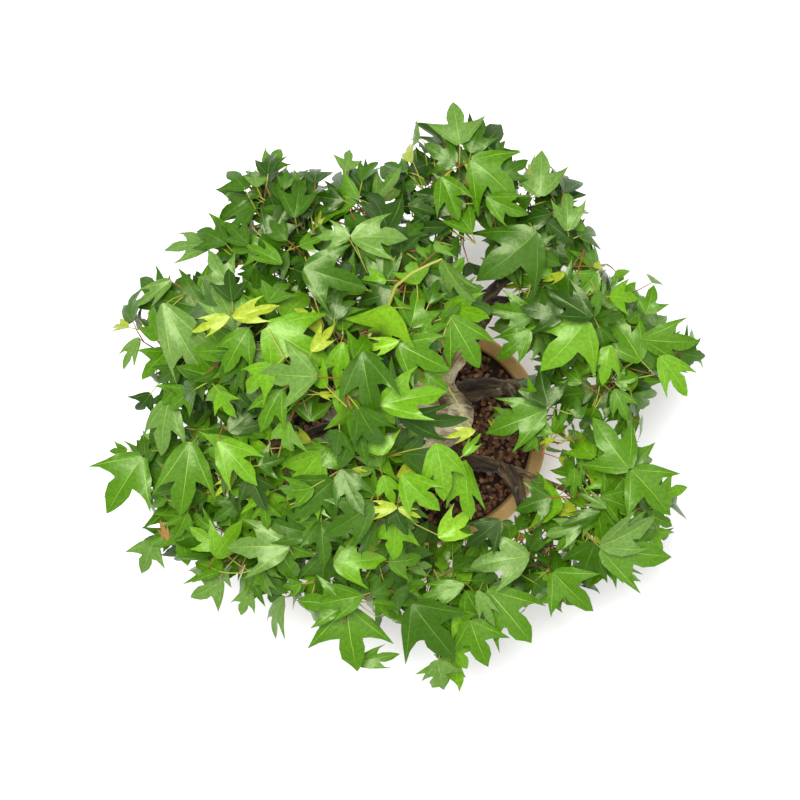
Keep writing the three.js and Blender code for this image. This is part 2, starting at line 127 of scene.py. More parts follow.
# A stalk's radii from the twig to the blade, and how many short stalks are red.
STALK_RADII = (0.65, 0.5, 0.42)
RED_STALKS = {"share": 0.3, "longest": 26}
# Young leaves of the rule: how likely each leaf is one, how many of them are lime, and their size.
YOUNG_LEAVES = {"share": 0.018, "lime": 0.75, "size": 0.5}
# A leaf that stands out is moved in these steps until it is clear. No leaf that the rule lays
# higher has its middle, as the camera sees it, within this share of its length from its own.
STANDOUT = {"tries": 25, "step": 3, "guard": 0.34}
# Masses whose leaves are larger or smaller than the rest, and how many shades darker they are.
LARGER = {"apex": 1.1, "top_west": 1.12, "west_high": 1.1, "top_south": 1.05, "back_left": 0.8, "north": 1.08}
DARKER = {"back_left": 1, "back": 1, "north": 1, "north_right": 1, "northwest": 1}
GOLDEN_ANGLE = math.pi * (3 - math.sqrt(5))

# Upright oval wells that no tested point of a twig or of the rule's leaves lies in, above the
# pot's right half and where bark shows: x, y and half widths.
WELLS = [
    (71, 51, 25, 21),
    (49, 33, 19, 31),
    (78, -32, 28, 29),
    (-50, 18, 12, 11),
]

# The camera looks straight down from here; its scale is picture points for one mm at a distance
# of one mm, and its middle is where the picture's middle is.
CAMERA = {"x": 7.3, "y": 28.4, "height": 1500, "scale": 1757, "middle": 400, "sensor": 36}
# The studio: its floor's width in metres, the light from all sides, and each softbox's place and
# size in metres and its power.
FLOOR_WIDTH = 12
AMBIENT = 0.72
SOFTBOXES = {
    "softbox_left": ((-0.3, 0.4, 2.4), 0.8, 62),
    "softbox_right": ((0.9, -0.6, 2.0), 1.2, 8),
}

# The leaves' finishes, by the places they have in each piece of foliage.
DEEP, GREEN, FRESH, LIGHT, YOUNG, LIME, BRONZE, DRY, GREY = range(9)
PALE_VEIN, DEEP_VEIN, UNDERSIDE, STALK, RED_STALK = range(9, 14)

# Leaves that stand out in the view from above: where the base and the middle lobe's tip are
# seen, the base's height, how far the tip hangs below it, the breadth (1 lobes spread wide,
# 0 lobes forward, -1 slender), the tilt about the leaf's own length, and the finish.
STANDOUTS = [
    (345, 171, 352, 150, 262, 10, 1, 0, GREY),
    (250, 196, 217, 219, 268, 8, 1, -15, GREEN),
    (259, 202, 223, 240, 272, 6, -1, 25, GREEN),
    (212, 246, 164, 248, 262, 6, 0, 30, GREY),
    (228, 284, 206, 250, 282, 4, 1, 0, GREY),
    (282, 264, 244, 247, 300, 10, -1, 20, FRESH),
    (304, 268, 368, 290, 352, 6, 1, 0, GREEN),
    (351, 238, 408, 238, 332, 4, 0, -15, GREY),
    (350, 237, 317, 234, 326, 4, 0, 10, GREY),
    (267, 327, 330, 368, 345, 8, 1, 0, LIGHT),
    (249, 328, 225, 374, 338, 10, 0, 10, FRESH),
    (163, 303, 213, 397, 292, 14, -1, 0, GREY),
    (172, 280, 138, 309, 268, 6, -1, 10, GREY),
    (140, 338, 121, 368, 245, 8, -1, 10, GREY),
    (166, 352, 140, 378, 252, 6, 1, 0, FRESH),
    (229, 316, 192, 333, 354, 2, -1, 0, LIME),
    (233, 318, 280, 304, 356, 2, -1, 0, LIME),
    (391, 306, 382, 336, 358, 40, 1, 0, YOUNG),
    (399, 341, 362, 352, 344, 6, -1, 0, YOUNG),
    (362, 352, 372, 418, 340, 10, 0, 0, GREEN),
    (343, 342, 333, 389, 338, 8, -1, 0, LIGHT),
    (238, 372, 232, 398, 318, 4, 0, 0, GREEN),
    (460, 144, 452, 102, 266, 12, 1, 0, GREY),
    (456, 163, 422, 147, 262, 4, 1, 0, GREEN),
    (471, 160, 519, 197, 270, 8, 1, 0, FRESH),
    (541, 196, 538, 150, 258, 8, 1, 0, GREY),
    (567, 231, 565, 190, 252, 8, 0, 10, GREY),
    (487, 197, 527, 218, 262, 6, 0, 10, FRESH),
    (441, 177, 462, 220, 268, 8, 0, 0, FRESH),
    (537, 232, 481, 287, 256, 8, 1, 0, GREEN),
    (450, 316, 480, 368, 332, 14, 0, 0, FRESH),
    (530, 330, 498, 361, 236, 8, 0, 0, FRESH),
    (562, 318, 520, 305, 240, 6, 1, 0, DEEP),
    (587, 320, 545, 375, 238, 8, 1, 0, LIGHT),
    (592, 318, 544, 294, 244, 6, 0, 10, DEEP),
    (646, 314, 655, 285, 212, 6, 1, 0, FRESH),
    (641, 339, 700, 343, 208, 6, 0, 15, FRESH),
    (660, 356, 689, 395, 205, 8, 0, 0, LIGHT),
    (610, 345, 600, 385, 226, 6, 0, 0, LIGHT),
    (142, 457, 105, 513, 238, 8, 1, 0, FRESH),
    (154, 540, 142, 574, 205, 10, 1, 0, GREY),
    (182, 525, 186, 566, 222, 10, 1, 0, FRESH),
    (170, 398, 160, 456, 250, 8, 0, 15, GREY),
    (190, 442, 185, 517, 252, 10, 0, 0, FRESH),
    (229, 432, 268, 400, 300, 6, 0, 0, DEEP),
    (218, 441, 262, 482, 300, 6, 0, 0, LIGHT),
    (311, 421, 312, 378, 318, 6, 1, 0, FRESH),
    (322, 466, 350, 446, 312, 6, 0, 0, FRESH),
    (381, 455, 376, 415, 330, 4, 1, 0, LIGHT),
    (370, 456, 352, 430, 322, 4, -1, 20, FRESH),
    (383, 475, 392, 505, 315, 6, 0, 0, LIGHT),
    (334, 563, 387, 557, 268, 6, 1, 0, LIGHT),
    (396, 521, 393, 560, 290, 10, 1, 0, LIGHT),
    (312, 534, 264, 518, 270, 6, 0, -15, GREEN),
    (290, 546, 227, 548, 262, 6, 0, 10, GREY),
    (347, 607, 353, 672, 222, 12, 1, 0, FRESH),
    (222, 581, 192, 600, 225, 8, 1, 0, GREY),
    (250, 590, 240, 615, 222, 8, 0, 0, GREY),
    (285, 596, 276, 640, 225, 20, -1, 50, GREY),
    (356, 663, 399, 650, 195, 4, -1, 0, FRESH),
    (168, 541, 158, 521, 218, 4, -1, 20, DRY),
    (547, 410, 485, 433, 210, 8, 0.3, 0, FRESH),
    (548, 407, 538, 368, 222, 6, 1, 0, DEEP),
    (580, 418, 575, 396, 216, 4, 1, 0, GREEN),
    (629, 469, 588, 421, 214, 8, 1, 0, FRESH),
    (631, 470, 673, 513, 212, 8, 1, 0, FRESH),
    (600, 549, 672, 556, 208, 8, 1, 0, FRESH),
    (600, 546, 655, 516, 212, 6, 0, 20, GREY),
    (553, 572, 590, 614, 200, 10, 1, 0, FRESH),
    (529, 556, 468, 562, 206, 6, 0.6, 0, GREY),
    (487, 590, 535, 640, 196, 10, 0, 0, FRESH),
    (412, 604, 455, 659, 208, 10, 0.7, 0, GREEN),
    (437, 660, 444, 690, 192, 12, 1, 0, GREY),
    (470, 620, 485, 668, 196, 10, 1, 0, FRESH),
    (478, 590, 492, 628, 204, 6, -1, 0, GREY),
    (464, 584, 413, 603, 206, 6, -1, 10, FRESH),
    (436, 443, 450, 500, 322, 10, 0, 0, LIGHT),
    (402, 475, 438, 513, 318, 8, 0, 0, LIGHT),
    (463, 456, 481, 433, 310, 4, -1, 0, LIGHT),
    (466, 460, 478, 520, 305, 20, -1, 30, LIGHT),
    (438, 537, 474, 513, 285, 6, 0, 0, YOUNG),
    (398, 508, 422, 516, 316, 2, -1, 0, LIME),
    (397, 507, 364, 509, 316, 2, -1, 0, LIME),
    (475, 430, 445, 438, 324, 2, -1, 0, LIME),
    (398, 417, 469, 419, 332, 6, -1, 30, DEEP),
    (500, 520, 465, 548, 215, 6, 0.5, 0, DEEP),
    (550, 497, 514, 509, 190, 6, 1, 0, GREEN),
    (607, 508, 580, 492, 200, 4, -1, 0, GREY),
    (575, 468, 571, 499, 195, 10, -1, 0, FRESH),
    (600, 512, 562, 530, 198, 4, -1, 20, GREEN),
    (380, 405, 447, 389, 350, 6, 0.2, 0, LIGHT),
    (398, 344, 450, 371, 340, 6, 0.5, 0, FRESH),
    (420, 336, 447, 322, 334, 4, 0, 0, FRESH),
    (424, 372, 449, 391, 328, 4, 0, 0, FRESH),
    (442, 259, 480, 300, 352, 14, -1, 55, GREY),
]

# Places of the picture that only the background shows in, and how far round them. No point of the
# rims of the rule's leaves lies there.
OPENINGS = [
    (128, 512, 17), (420, 655, 13), (678, 395, 13), (681, 308, 12), (130, 381, 12), (614, 257, 12),
    (492, 650, 10), (225, 598, 8), (393, 633, 10), (122, 429, 10), (540, 613, 9), (475, 143, 7),
    (597, 217, 9), (473, 243, 8), (661, 405, 8), (590, 601, 9), (307, 157, 7), (593, 187, 8),
    (550, 462, 7), (303, 620, 9), (142, 347, 7), (417, 168, 5), (390, 217, 6), (555, 160, 7),
    (145, 419, 6), (656, 455, 5), (368, 616, 6), (482, 660, 6), (107, 464, 7),
]

# A yellow shoot that arches over the top, where it is seen and how high it is at each point.
ARCH = [(388, 307, 336), (396, 286, 346), (412, 273, 353), (428, 265, 355), (442, 259, 353)]


def colour(red, green, blue):
    """A colour of 0 to 255 per part, as the linear values that the shaders use."""
    parts = [c / 255 for c in (red, green, blue)]
    return tuple(c / 12.92 if c < 0.04 else ((c + 0.055) / 1.055) ** 2.4 for c in parts) + (1,)


# The limbs, as in the solids.

def along(stations, t):
    """The values at t, 0 to 1, on a smooth curve through evenly spaced stations."""
    last = len(stations) - 1
    place = min(max(t, 0), 1) * last
    i = min(int(place), last - 1)
    u = place - i
    a, b, c, d = [stations[min(max(k, 0), last)] for k in (i - 1, i, i + 1, i + 2)]
    return [
        0.5 * (2 * q + (r - p) * u + (2 * p - 5 * q + 4 * r - s) * u * u + (3 * q - p - 3 * r + s) * u ** 3)
        for p, q, r, s in zip(a, b, c, d)
    ]


def trunk_limb(t):
    x, y, z, radius = along(TRUNK, t)
    return Vector((x, y, z)), radius


def bough_limb(parent, at, centre, root, bend):
    """A tapered bough from a place on its parent to the edge of its mass."""
    bow, sway, arch = bend
    start = parent(at)[0]
    tip = centre.lerp(start, BOUGH["entry"])
    run = tip - start
    side = UP.cross(run).normalized()
    length = run.length

    def limb(t):
        point = start + run * t
        point += side * (bow * math.sin(math.pi * t) + sway * math.sin(2 * math.pi * t))
        point += UP * (arch * math.sin(math.pi * t))
        collar = BOUGH["collar"] * math.exp(-t * length / BOUGH["collar_length"])
        return point, (root + (BOUGH["tip"] - root) * t ** 0.85) * (1 + collar)

    return limb


def direction(limb, t):
    return (limb(min(t + 0.01, 1))[0] - limb(max(t - 0.01, 0))[0]).normalized()


class Mass:
    """The space of one leafy mass and the limb that carries it."""

    def __init__(self, name, limb, centre, size, seed):
        self.name, self.limb, self.centre, self.size = name, limb, Vector(centre), Vector(size)
        self.state = seed

    def roll(self):
        self.state = self.state * 16807 % 2147483647
        return self.state / 2147483647


limbs = {"trunk": trunk_limb}
masses = []
for index, (name, on, at, centre, size, *shape) in enumerate(BRANCHES):
    if shape:
        limbs[name] = bough_limb(limbs[on], at, Vector(centre), *shape)
    masses.append(Mass(name, limbs[name if shape else on], centre, size, 1000 + index * 77))

mass_centres = np.array([m.centre for m in masses])
mass_powers = np.array([m.size.x ** 2 for m in masses])
limb_points = np.array([[*limb(i / 60)[0], limb(i / 60)[1]] for limb in limbs.values() for i in range(61)])


def keeps(mass, points, margin, limit=1.0):
    """True where a mass keeps all these points in its own space, out of the wells."""
    points = np.asarray(points, float).reshape(-1, 3)
    own = masses.index(mass)
    power = ((points[:, None] - mass_centres) ** 2).sum(2) - mass_powers
    apart = np.linalg.norm(mass_centres - mass_centres[own], axis=1)
    room = power - power[:, [own]] > 2 * margin * apart
    room[:, own] = True
    share = np.linalg.norm((points - mass_centres[own]) / np.array(mass.size), axis=1)
    if not room.all() or (share >= limit).any():
        return False
    return not any(
        (np.hypot((points[:, 0] - x) / half_x, (points[:, 1] - y) / half_y) < 1).any()
        for x, y, half_x, half_y in WELLS
    )


def near_limb(points, margin):
    points = np.asarray(points, float).reshape(-1, 3)
    apart = np.linalg.norm(points[:, None] - limb_points[:, :3], axis=2)
    return (apart < limb_points[:, 3] + margin).any()


def seen(x, y, height):
    """The point at this height that the camera sees at this place of its picture."""
    share = (CAMERA["height"] - height) / CAMERA["scale"]
    return Vector((
        CAMERA["x"] + (x - CAMERA["middle"]) * share, CAMERA["y"] - (y - CAMERA["middle"]) * share, height,
    ))


def in_picture(points):
    """Where the camera sees these points: their places in its picture."""
    x, y, z = np.asarray(points, float).reshape(-1, 3).T
    share = CAMERA["scale"] / (CAMERA["height"] - z)
    across = CAMERA["middle"] + (x - CAMERA["x"]) * share
    down = CAMERA["middle"] - (y - CAMERA["y"]) * share
    return np.stack([across, down], 1)


def fills_opening(points):
    """True where any of these points would be seen in one of the openings."""
    places = in_picture(points)
    return any((np.hypot(*(places - (x, y)).T) < reach).any() for x, y, reach in OPENINGS)


def heading(azimuth, rise):
    level = math.cos(rise)
    return Vector((math.cos(azimuth) * level, math.sin(azimuth) * level, math.sin(rise)))


def depth(mass, way):
    """How far a mass reaches from its centre in a direction, in steps of 2 mm."""
    far = 10
    while keeps(mass, mass.centre + way * (far + 2), 1):
        far += 2
    return far


# Meshes out of many small shapes.

class Heap:
    """Points and faces of many small shapes, gathered for one joined piece."""

    def __init__(self):
        self.points, self.faces, self.slots, self.count = [], [], [], 0

    def add(self, points, faces, slots):
        self.points.append(np.asarray(points, float))
        self.faces += [[i + self.count for i in face] for face in faces]
        self.slots += slots if isinstance(slots, list) else [slots] * len(faces)
        self.count += len(points)

    def piece(self, name, materials, smooth_angle):
        """All the shapes as one object, smooth where they bend less than this angle in degrees."""
        mesh = bpy.data.meshes.new(name)
        mesh.from_pydata((np.concatenate(self.points) * MM).tolist(), [], self.faces)
        for finish in materials:
            mesh.materials.append(finish)
        mesh.polygons.foreach_set("material_index", self.slots)
        mesh.update()
        ob = bpy.data.objects.new(name, mesh)
        bpy.context.scene.collection.objects.link(ob)
        only(ob)
        bpy.ops.object.shade_smooth_by_angle(angle=math.radians(smooth_angle))
        return ob


def only(ob):
    bpy.ops.object.select_all(action="DESELECT")
    ob.select_set(True)
    bpy.context.view_layer.objects.active = ob


def tube(stations, sides):
    """A closed tapered rod through (point, radius) stations from its root to its tip."""
    points, faces = [], []
    across = None
    for i, (point, radius) in enumerate(stations):
        ahead = stations[min(i + 1, len(stations) - 1)][0] - stations[max(i - 1, 0)][0]
        ahead.normalize()
        if across is None:
            across = ahead.cross(EAST if abs(ahead.z) > 0.9 else UP)
        across = (across - ahead * across.dot(ahead)).normalized()
        high = ahead.cross(across)
        for k in range(sides):
            angle = 2 * math.pi * k / sides
            points.append(point + (across * math.cos(angle) + high * math.sin(angle)) * radius)
    for row in range(len(stations) - 1):
        for k in range(sides):
            p, q = row * sides + k, row * sides + (k + 1) % sides
            faces.append([p, q, q + sides, p + sides])
    faces.append(list(range(sides))[::-1])
    faces.append([len(points) - sides + k for k in range(sides)])
    return points, faces


# The twigs of each mass.

def bend_of(a, b, sag):
    return a.lerp(b, 0.5) - UP * sag


def grow_twigs(mass, index):
    """The stem and shoots of the solids' rule, then finer twigs: their rods, and where leaves grow."""
    tip, tip_radius = mass.limb(1)
    ahead = direction(mass.limb, 1)
    heart = mass.centre + UP * STEM["heart"] * mass.size.z
    foot = tip - ahead * 2
    bend = foot.lerp(heart, 0.5) + ahead * 4
    rods = [[(foot, min(tip_radius, STEM["root"])), (bend, STEM["middle"]), (heart, STEM["tip"])]]
    nodes = []
    for k in range(SHOOT["count"]):
        share = (k + 0.5) / SHOOT["count"]
        azimuth = k * GOLDEN_ANGLE + index
        way = heading(azimuth, SHOOT["lowest"] + (SHOOT["highest"] - SHOOT["lowest"]) * share * share)
        start = bend.lerp(heart, share * 0.9)
        end = mass.centre + way * depth(mass, way) * SHOOT["reach"]
        elbow = bend_of(start, end, SHOOT["sag"] * mass.roll())
        tested = [start.lerp(elbow, i / 3) for i in range(4)] + [elbow.lerp(end, i / 3) for i in range(4)]
        if not keeps(mass, tested, SHOOT_GAP) or near_limb(tested[1:], SHOOT_GAP):
            continue
        middle = (SHOOT["radius"] + SHOOT["tip"]) / 2
        rods.append([(start, SHOOT["radius"]), (elbow, middle), (end, SHOOT["tip"])])
        nodes += [(end, azimuth), (end, azimuth + 1.1), (end, azimuth - 1.1)]
        for place, turn in TWIGS:
            node = start.lerp(elbow, 2 * place) if place < 0.5 else elbow.lerp(end, 2 * place - 1)
            turned = azimuth + turn + (mass.roll() - 0.5) * 0.8
            way = heading(turned, 0.1 + 0.6 * mass.roll())
            twig_end = node + way * TWIG["length"] * (0.6 + 0.7 * mass.roll())
            halfway = node.lerp(twig_end, 0.5)
            if not keeps(mass, [twig_end], 1) or near_limb([halfway, twig_end], TWIG_GAP):
                twig_end = node.lerp(twig_end, 0.35)
                if near_limb([twig_end], TWIG_GAP):
                    continue
            twig_bend = bend_of(node, twig_end, 2 * mass.roll())
            rods.append([(node, TWIG["radius"]), (twig_bend, TWIG["middle"]), (twig_end, TWIG["tip"])])
            nodes += [(twig_end, turned), (twig_end, turned + 1.2), (twig_end, turned - 1.2)]
            nodes += [(twig_bend, turned + 1.5), (twig_bend, turned - 1.5)]
    return rods, nodes


# One three-lobed leaf, and all the foliage.

# Half a leaf's outline from its base to its tip, across and along, for a leaf of length 1: with
# its side lobes spread wide, and with them pointing forward.
WIDE_HALF = [
    (0.07, -0.015), (0.19, 0.045), (0.32, 0.16), (0.43, 0.32), (0.6, 0.55), (0.43, 0.475),
    (0.275, 0.43), (0.155, 0.44), (0.185, 0.58), (0.15, 0.74), (0.075, 0.88),
]
LONG_HALF = [
    (0.06, 0.015), (0.18, 0.11), (0.275, 0.27), (0.34, 0.46), (0.4, 0.76), (0.3, 0.61),
    (0.205, 0.53), (0.125, 0.51), (0.155, 0.64), (0.12, 0.79), (0.06, 0.91),
]
LOBE, SINUS, TIP, RIM = 5, 8, 12, 24
VEIN = 0.0055
THICKNESS = 0.6


def leaf_points(half):
    """The rim, then the points inside it: the midrib's and side veins' edges, then the underside's."""
    rim = [(0, 0)] + half + [(0, 1)] + [(-x, y) for x, y in reversed(half)]
    lobe = Vector(half[LOBE - 1])
    aside = Vector((-lobe.y, lobe.x)).normalized() * VEIN * 0.8
    edges = [Vector((VEIN, 0.2)), Vector((VEIN * 0.8, 0.5)), lobe * 0.52 + aside, lobe * 0.52 - aside]
    inside = [(side * point.x, point.y) for side in (1, -1) for point in edges]
    inside += [(0, 0.2), (0, 0.5), (lobe.x * 0.52, lobe.y * 0.52), (-lobe.x * 0.52, lobe.y * 0.52)]
    return np.array(rim + inside)


def leaf_faces():
    """Faces and their slots: 0 blade, 1 vein, 2 underside."""
    faces, slots = [], []
    for side in (1, -1):
        rim = [(side * i) % RIM for i in range(TIP + 1)]
        near, fork, inner, outer = range(RIM, RIM + 4) if side > 0 else range(RIM + 4, RIM + 8)
        low, high = RIM + 8, RIM + 9
        under = RIM + 10 if side > 0 else RIM + 11
        top = [(fork, rim[i], rim[i + 1]) for i in range(SINUS, TIP)]
        top += [(near, rim[SINUS], fork), (near, inner, rim[SINUS]), (0, inner, near)]
        top += [(inner, rim[i], rim[i + 1]) for i in range(LOBE, SINUS)]
        top += [(outer, rim[i], rim[i + 1]) for i in range(LOBE)]
        veins = [(0, outer, inner), (inner, outer, rim[LOBE])]
        below = [(high, rim[i], rim[i + 1]) for i in range(SINUS, TIP)]
        below += [(low, rim[SINUS], high), (low, under, rim[SINUS]), (0, under, low)]
        below += [(under, rim[i], rim[i + 1]) for i in range(SINUS)]
        for group, slot in ((top, 0), (veins, 1), (below, 2)):
            for a, b, c in group:
                turned = (side > 0) == (slot < 2)
                faces.append([a, b, c] if turned else [a, c, b])
                slots.append(slot)
    right, left = RIM, RIM + 4
    faces += [[0, right, left], [left, right, right + 1]]
    faces += [[left, right + 1, left + 1], [left + 1, right + 1, TIP]]
    return faces, slots + [1] * 4


WIDE_LEAF, LONG_LEAF = leaf_points(WIDE_HALF), leaf_points(LONG_HALF)
LEAF_FACES, LEAF_SLOTS = leaf_faces()
LEAF_LIFT = np.array([0] * RIM + [0.5] * 8 + [-0.5] * 4)
# Uneven margins, one of which each leaf takes. The base and the lobes' tips stay in place.
MARGINS = np.random.default_rng(3).uniform(-0.018, 0.018, (16, RIM + 12, 2))
MARGINS[:, [0, LOBE, TIP, RIM - LOBE, *range(RIM, RIM + 12)]] = 0


def lay_leaf(mass, base, ahead, face, length, breadth=None, droop=None):
    """The points of one blade, bent down along its lobes, folded and a little uneven."""
    across = ahead.cross(face)
    wide = mass.roll() if breadth is None else breadth
    slim = 1 if wide >= 0 else 0.66
    uneven = 0.5 * (mass.roll() - 0.5)
    share = np.clip(wide + np.sign(LONG_LEAF[:, 0]) * uneven, 0, 1)[:, None]
    x, y = (LONG_LEAF + (WIDE_LEAF - LONG_LEAF) * share + MARGINS[int(mass.roll() * 16)]).T
    droop = 0.15 + 1.15 * mass.roll() if droop is None else droop
    fold = 0.12 + 0.62 * mass.roll()
    cup = 0.4 + 0.9 * mass.roll()
    twist = 0.6 * (mass.roll() - 0.5)
    x = x * slim * (0.9 + 0.2 * mass.roll()) + 0.2 * (mass.roll() - 0.5) * y * y
    high = -(1 - np.cos(droop * y)) / droop + fold * np.abs(x) - cup * x * x + twist * x * y
    high = high * length + LEAF_LIFT * THICKNESS * (length / 50)
    y = np.sin(droop * y) / droop
    flat = np.outer(x * length, across) + np.outer(y * length, ahead)
    return np.array(base) + flat + np.outer(high, face)


# The points of the rim that stand for a blade where it is tested.
BLADE_OUTLINE = [0, 2, 4, 5, 6, 8, 10, 12, 14, 16, 18, 19, 20, 22]


def blade_tree(points):
    """A blade as a coarse fan of faces, to test roughly what it would cross."""
    rim = [Vector(points[i]) for i in BLADE_OUTLINE]
    middle = Vector(points[-3] * 0.5 + points[-4] * 0.5)
    count = len(rim)
    return BVHTree.FromPolygons([middle] + rim, [[0, i + 1, (i + 1) % count + 1] for i in range(count)])


def blade_reach(points, middle):
    return np.linalg.norm(points[:RIM] - np.array(middle), axis=1).max()


class Foliage:
    """All the leaves that stand so far, tested by their coarse fans. Stalks aren't tested."""

    def __init__(self, rods_tree):
        self.rods_tree = rods_tree
        self.blades = []
        # Each blade's middle and how far it reaches from there.
        self.spots = np.zeros((LEAF["most"], 4))
        self.standouts = []
        self.heaps = [Heap() for _ in masses]

    def fits(self, points, middle):
        """A blade's fan if it is clear of limbs, twigs and the other blades' fans, or None."""
        if near_limb(points[::2], LEAF["gap"]):
            return None
        blade = blade_tree(points)
        if blade.overlap(self.rods_tree):
            return None
        stand = self.spots[:len(self.blades)]
        apart = np.linalg.norm(stand[:, :3] - np.array(middle), axis=1)
        near = np.flatnonzero(apart < stand[:, 3] + blade_reach(points, middle))
        return None if any(blade.overlap(self.blades[i]) for i in near) else blade

    def covers_standout(self, middle):
        """True where a leaf with its middle here would lie over the middle of one that stands out."""
        x, y = in_picture(middle)[0]
        return any(middle.z > z and math.hypot(x - sx, y - sy) < reach for sx, sy, z, reach in self.standouts)

    def add(self, mass, points, middle, blade, node, base, ahead, green):
        """Keeps a blade, and gives it a stalk from its node on the twig."""
        self.spots[len(self.blades)] = (*middle, blade_reach(points, middle))
        self.blades.append(blade)
        heap = self.heaps[masses.index(mass)]
        vein = DEEP_VEIN if green in (DEEP, GREEN) else PALE_VEIN
        heap.add(points, LEAF_FACES, [(green, vein, UNDERSIDE)[slot] for slot in LEAF_SLOTS])
        length = (base - node).length
        bend = node.lerp(base, 0.55) + UP * (1.5 + 0.08 * length)
        stalk = RED_STALK if mass.roll() < RED_STALKS["share"] and length < RED_STALKS["longest"] else STALK
        heap.add(*tube(list(zip((node, bend, base + ahead * 1.5), STALK_RADII)), 3), stalk)

    def grow(self, mass, node, azimuth, green, size, tries):
        """A leaf on its stalk, turned and shrunk until it is clear, or left out."""
        limit = LEAF["limit"] + LEAF["straggle"] * mass.roll() ** 2
        young = green in (LIME, BRONZE)
        for n in range(tries):
            share = n / tries
            turned = azimuth + (mass.roll() - 0.5) * math.pi * (0.4 + 1.2 * share)
            length = 1 + (0.5 - mass.roll()) * LEAF["spread"] - LEAF["shrink"] * share
            length *= size * LEAF["length"] * LARGER.get(mass.name, 1)
            length *= YOUNG_LEAVES["size"] if young else 1
            stalk_way = heading(turned, 0.1 + mass.roll() * 0.9)
            base = node + stalk_way * LEAF["stalk"] * (0.5 + 1.1 * mass.roll())
            ahead = heading(turned + (mass.roll() - 0.5) * 0.9, 0.2 - mass.roll() * 1.1)
            face = heading(turned + (mass.roll() - 0.5) * 2.4, 0.6 + mass.roll() * 0.9)
            face = (face - ahead * face.dot(ahead)).normalized()
            middle = base + ahead * length * 0.36
            if not keeps(mass, [middle], 1) or self.covers_standout(middle):
                continue
            points = lay_leaf(mass, base, ahead, face, length, -1 if young else None)
            if not keeps(mass, points[:RIM], -LEAF["stray"], limit) or fills_opening(points[:RIM]):
                continue
            blade = self.fits(points, middle)
            if blade:
                self.add(mass, points, middle, blade, node, base, ahead, green)
                return True
        return False

    def set_standout(self, x0, y0, x1, y1, height, hang, breadth, tilt, green, nodes):
        """A leaf that stands out, moved along the line of sight until it is clear, or left out."""
        for n in range(STANDOUT["tries"]):
            lift = (n + 1) // 2 * (STANDOUT["step"] if n % 2 else -STANDOUT["step"])
            base = seen(x0, y0, height + lift)
            tip = seen(x1, y1, height + lift - hang)
            chord = tip - base
            mass = min(masses, key=lambda m: (base - m.centre).length_squared - m.size.x ** 2)
            node = min(nodes[mass.name], key=lambda spot: (spot - base).length)
            droop = 0.5 + 0.02 * hang
            length = chord.length * droop / (2 * math.sin(droop / 2))
            chord.normalize()
            face = UP - chord * chord.z
            face.rotate(Matrix.Rotation(math.radians(tilt), 3, chord))
            face.normalize()
            ahead = chord * math.cos(droop / 2) + face * math.sin(droop / 2)
            face = face * math.cos(droop / 2) - chord * math.sin(droop / 2)
            points = lay_leaf(mass, base, ahead, face, length, breadth, droop)
            middle = base.lerp(tip, 0.4)
            blade = self.fits(points, middle)
            if blade:
                self.add(mass, points, middle, blade, node, base, ahead, green)
                reach = STANDOUT["guard"] * length * CAMERA["scale"] / (CAMERA["height"] - middle.z)
                self.standouts.append((*in_picture(middle)[0], middle.z, reach))
                return True
        return False


# Materials.

def material(name, base, rough=0.5, **extra):
    made = bpy.data.materials.new(name)
    made.use_nodes = True
    shader = made.node_tree.nodes["Principled BSDF"]
    shader.inputs["Base Color"].default_value = base
    shader.inputs["Roughness"].default_value = rough
    for socket, value in extra.items():
        shader.inputs[socket.replace("_", " ")].default_value = value
    return made


class Nodes:
    """Short names for the nodes of one material."""

    def __init__(self, made):
        self.tree = made.node_tree
        self.shader = self.tree.nodes["Principled BSDF"]
        self.place = self.node("ShaderNodeTexCoord").outputs["Object"]

    def node(self, kind, **values):
        node = self.tree.nodes.new(kind)
        for key, value in values.items():
            setattr(node, key, value)
        return node

    def link(self, a, b):
        self.tree.links.new(a, b)

    def noise(self, scale, detail=4, stretch=(1, 1, 1)):
        mapping = self.node("ShaderNodeMapping")
        mapping.inputs["Scale"].default_value = stretch
        self.link(self.place, mapping.inputs["Vector"])
        texture = self.node("ShaderNodeTexNoise")
        texture.inputs["Scale"].default_value = scale
        texture.inputs["Detail"].default_value = detail
        self.link(mapping.outputs["Vector"], texture.inputs["Vector"])
        return texture.outputs["Fac"]

    def ramp(self, value, stops):
        ramp = self.node("ShaderNodeValToRGB")
        elements = ramp.color_ramp.elements
        while len(elements) < len(stops):
            elements.new(0.5)
        for element, (place, shade) in zip(elements, stops):
            element.position, element.color = place, shade
        self.link(value, ramp.inputs["Fac"])
        return ramp.outputs["Color"]

    def mix(self, factor, a, b, blend="MIX"):
        mix = self.node("ShaderNodeMix", data_type="RGBA", blend_type=blend)
        for socket, value in ((mix.inputs[0], factor), (mix.inputs[6], a), (mix.inputs[7], b)):
            if isinstance(value, bpy.types.NodeSocket):
                self.link(value, socket)
            else:
                socket.default_value = value
        return mix.outputs[2]

    def times(self, value, factor):
        product = self.node("ShaderNodeMath", operation="MULTIPLY")
        self.link(value, product.inputs[0])
        product.inputs[1].default_value = factor
        return product.outputs["Value"]

    def sum(self, value, other, share):
        """A value plus a share of another."""
        total = self.node("ShaderNodeMath", operation="MULTIPLY_ADD")
        self.link(other, total.inputs[0])
        total.inputs[1].default_value = share
        self.link(value, total.inputs[2])
        return total.outputs["Value"]

    def paint(self, shade):
        self.link(shade, self.shader.inputs["Base Color"])

    def bump(self, height, strength, distance):
        bump = self.node("ShaderNodeBump")
        bump.inputs["Strength"].default_value = strength
        bump.inputs["Distance"].default_value = distance
        self.link(height, bump.inputs["Height"])
        self.link(bump.outputs["Normal"], self.shader.inputs["Normal"])


LEAF_SHEEN = (0.85, 1.0, 0.55, 1)


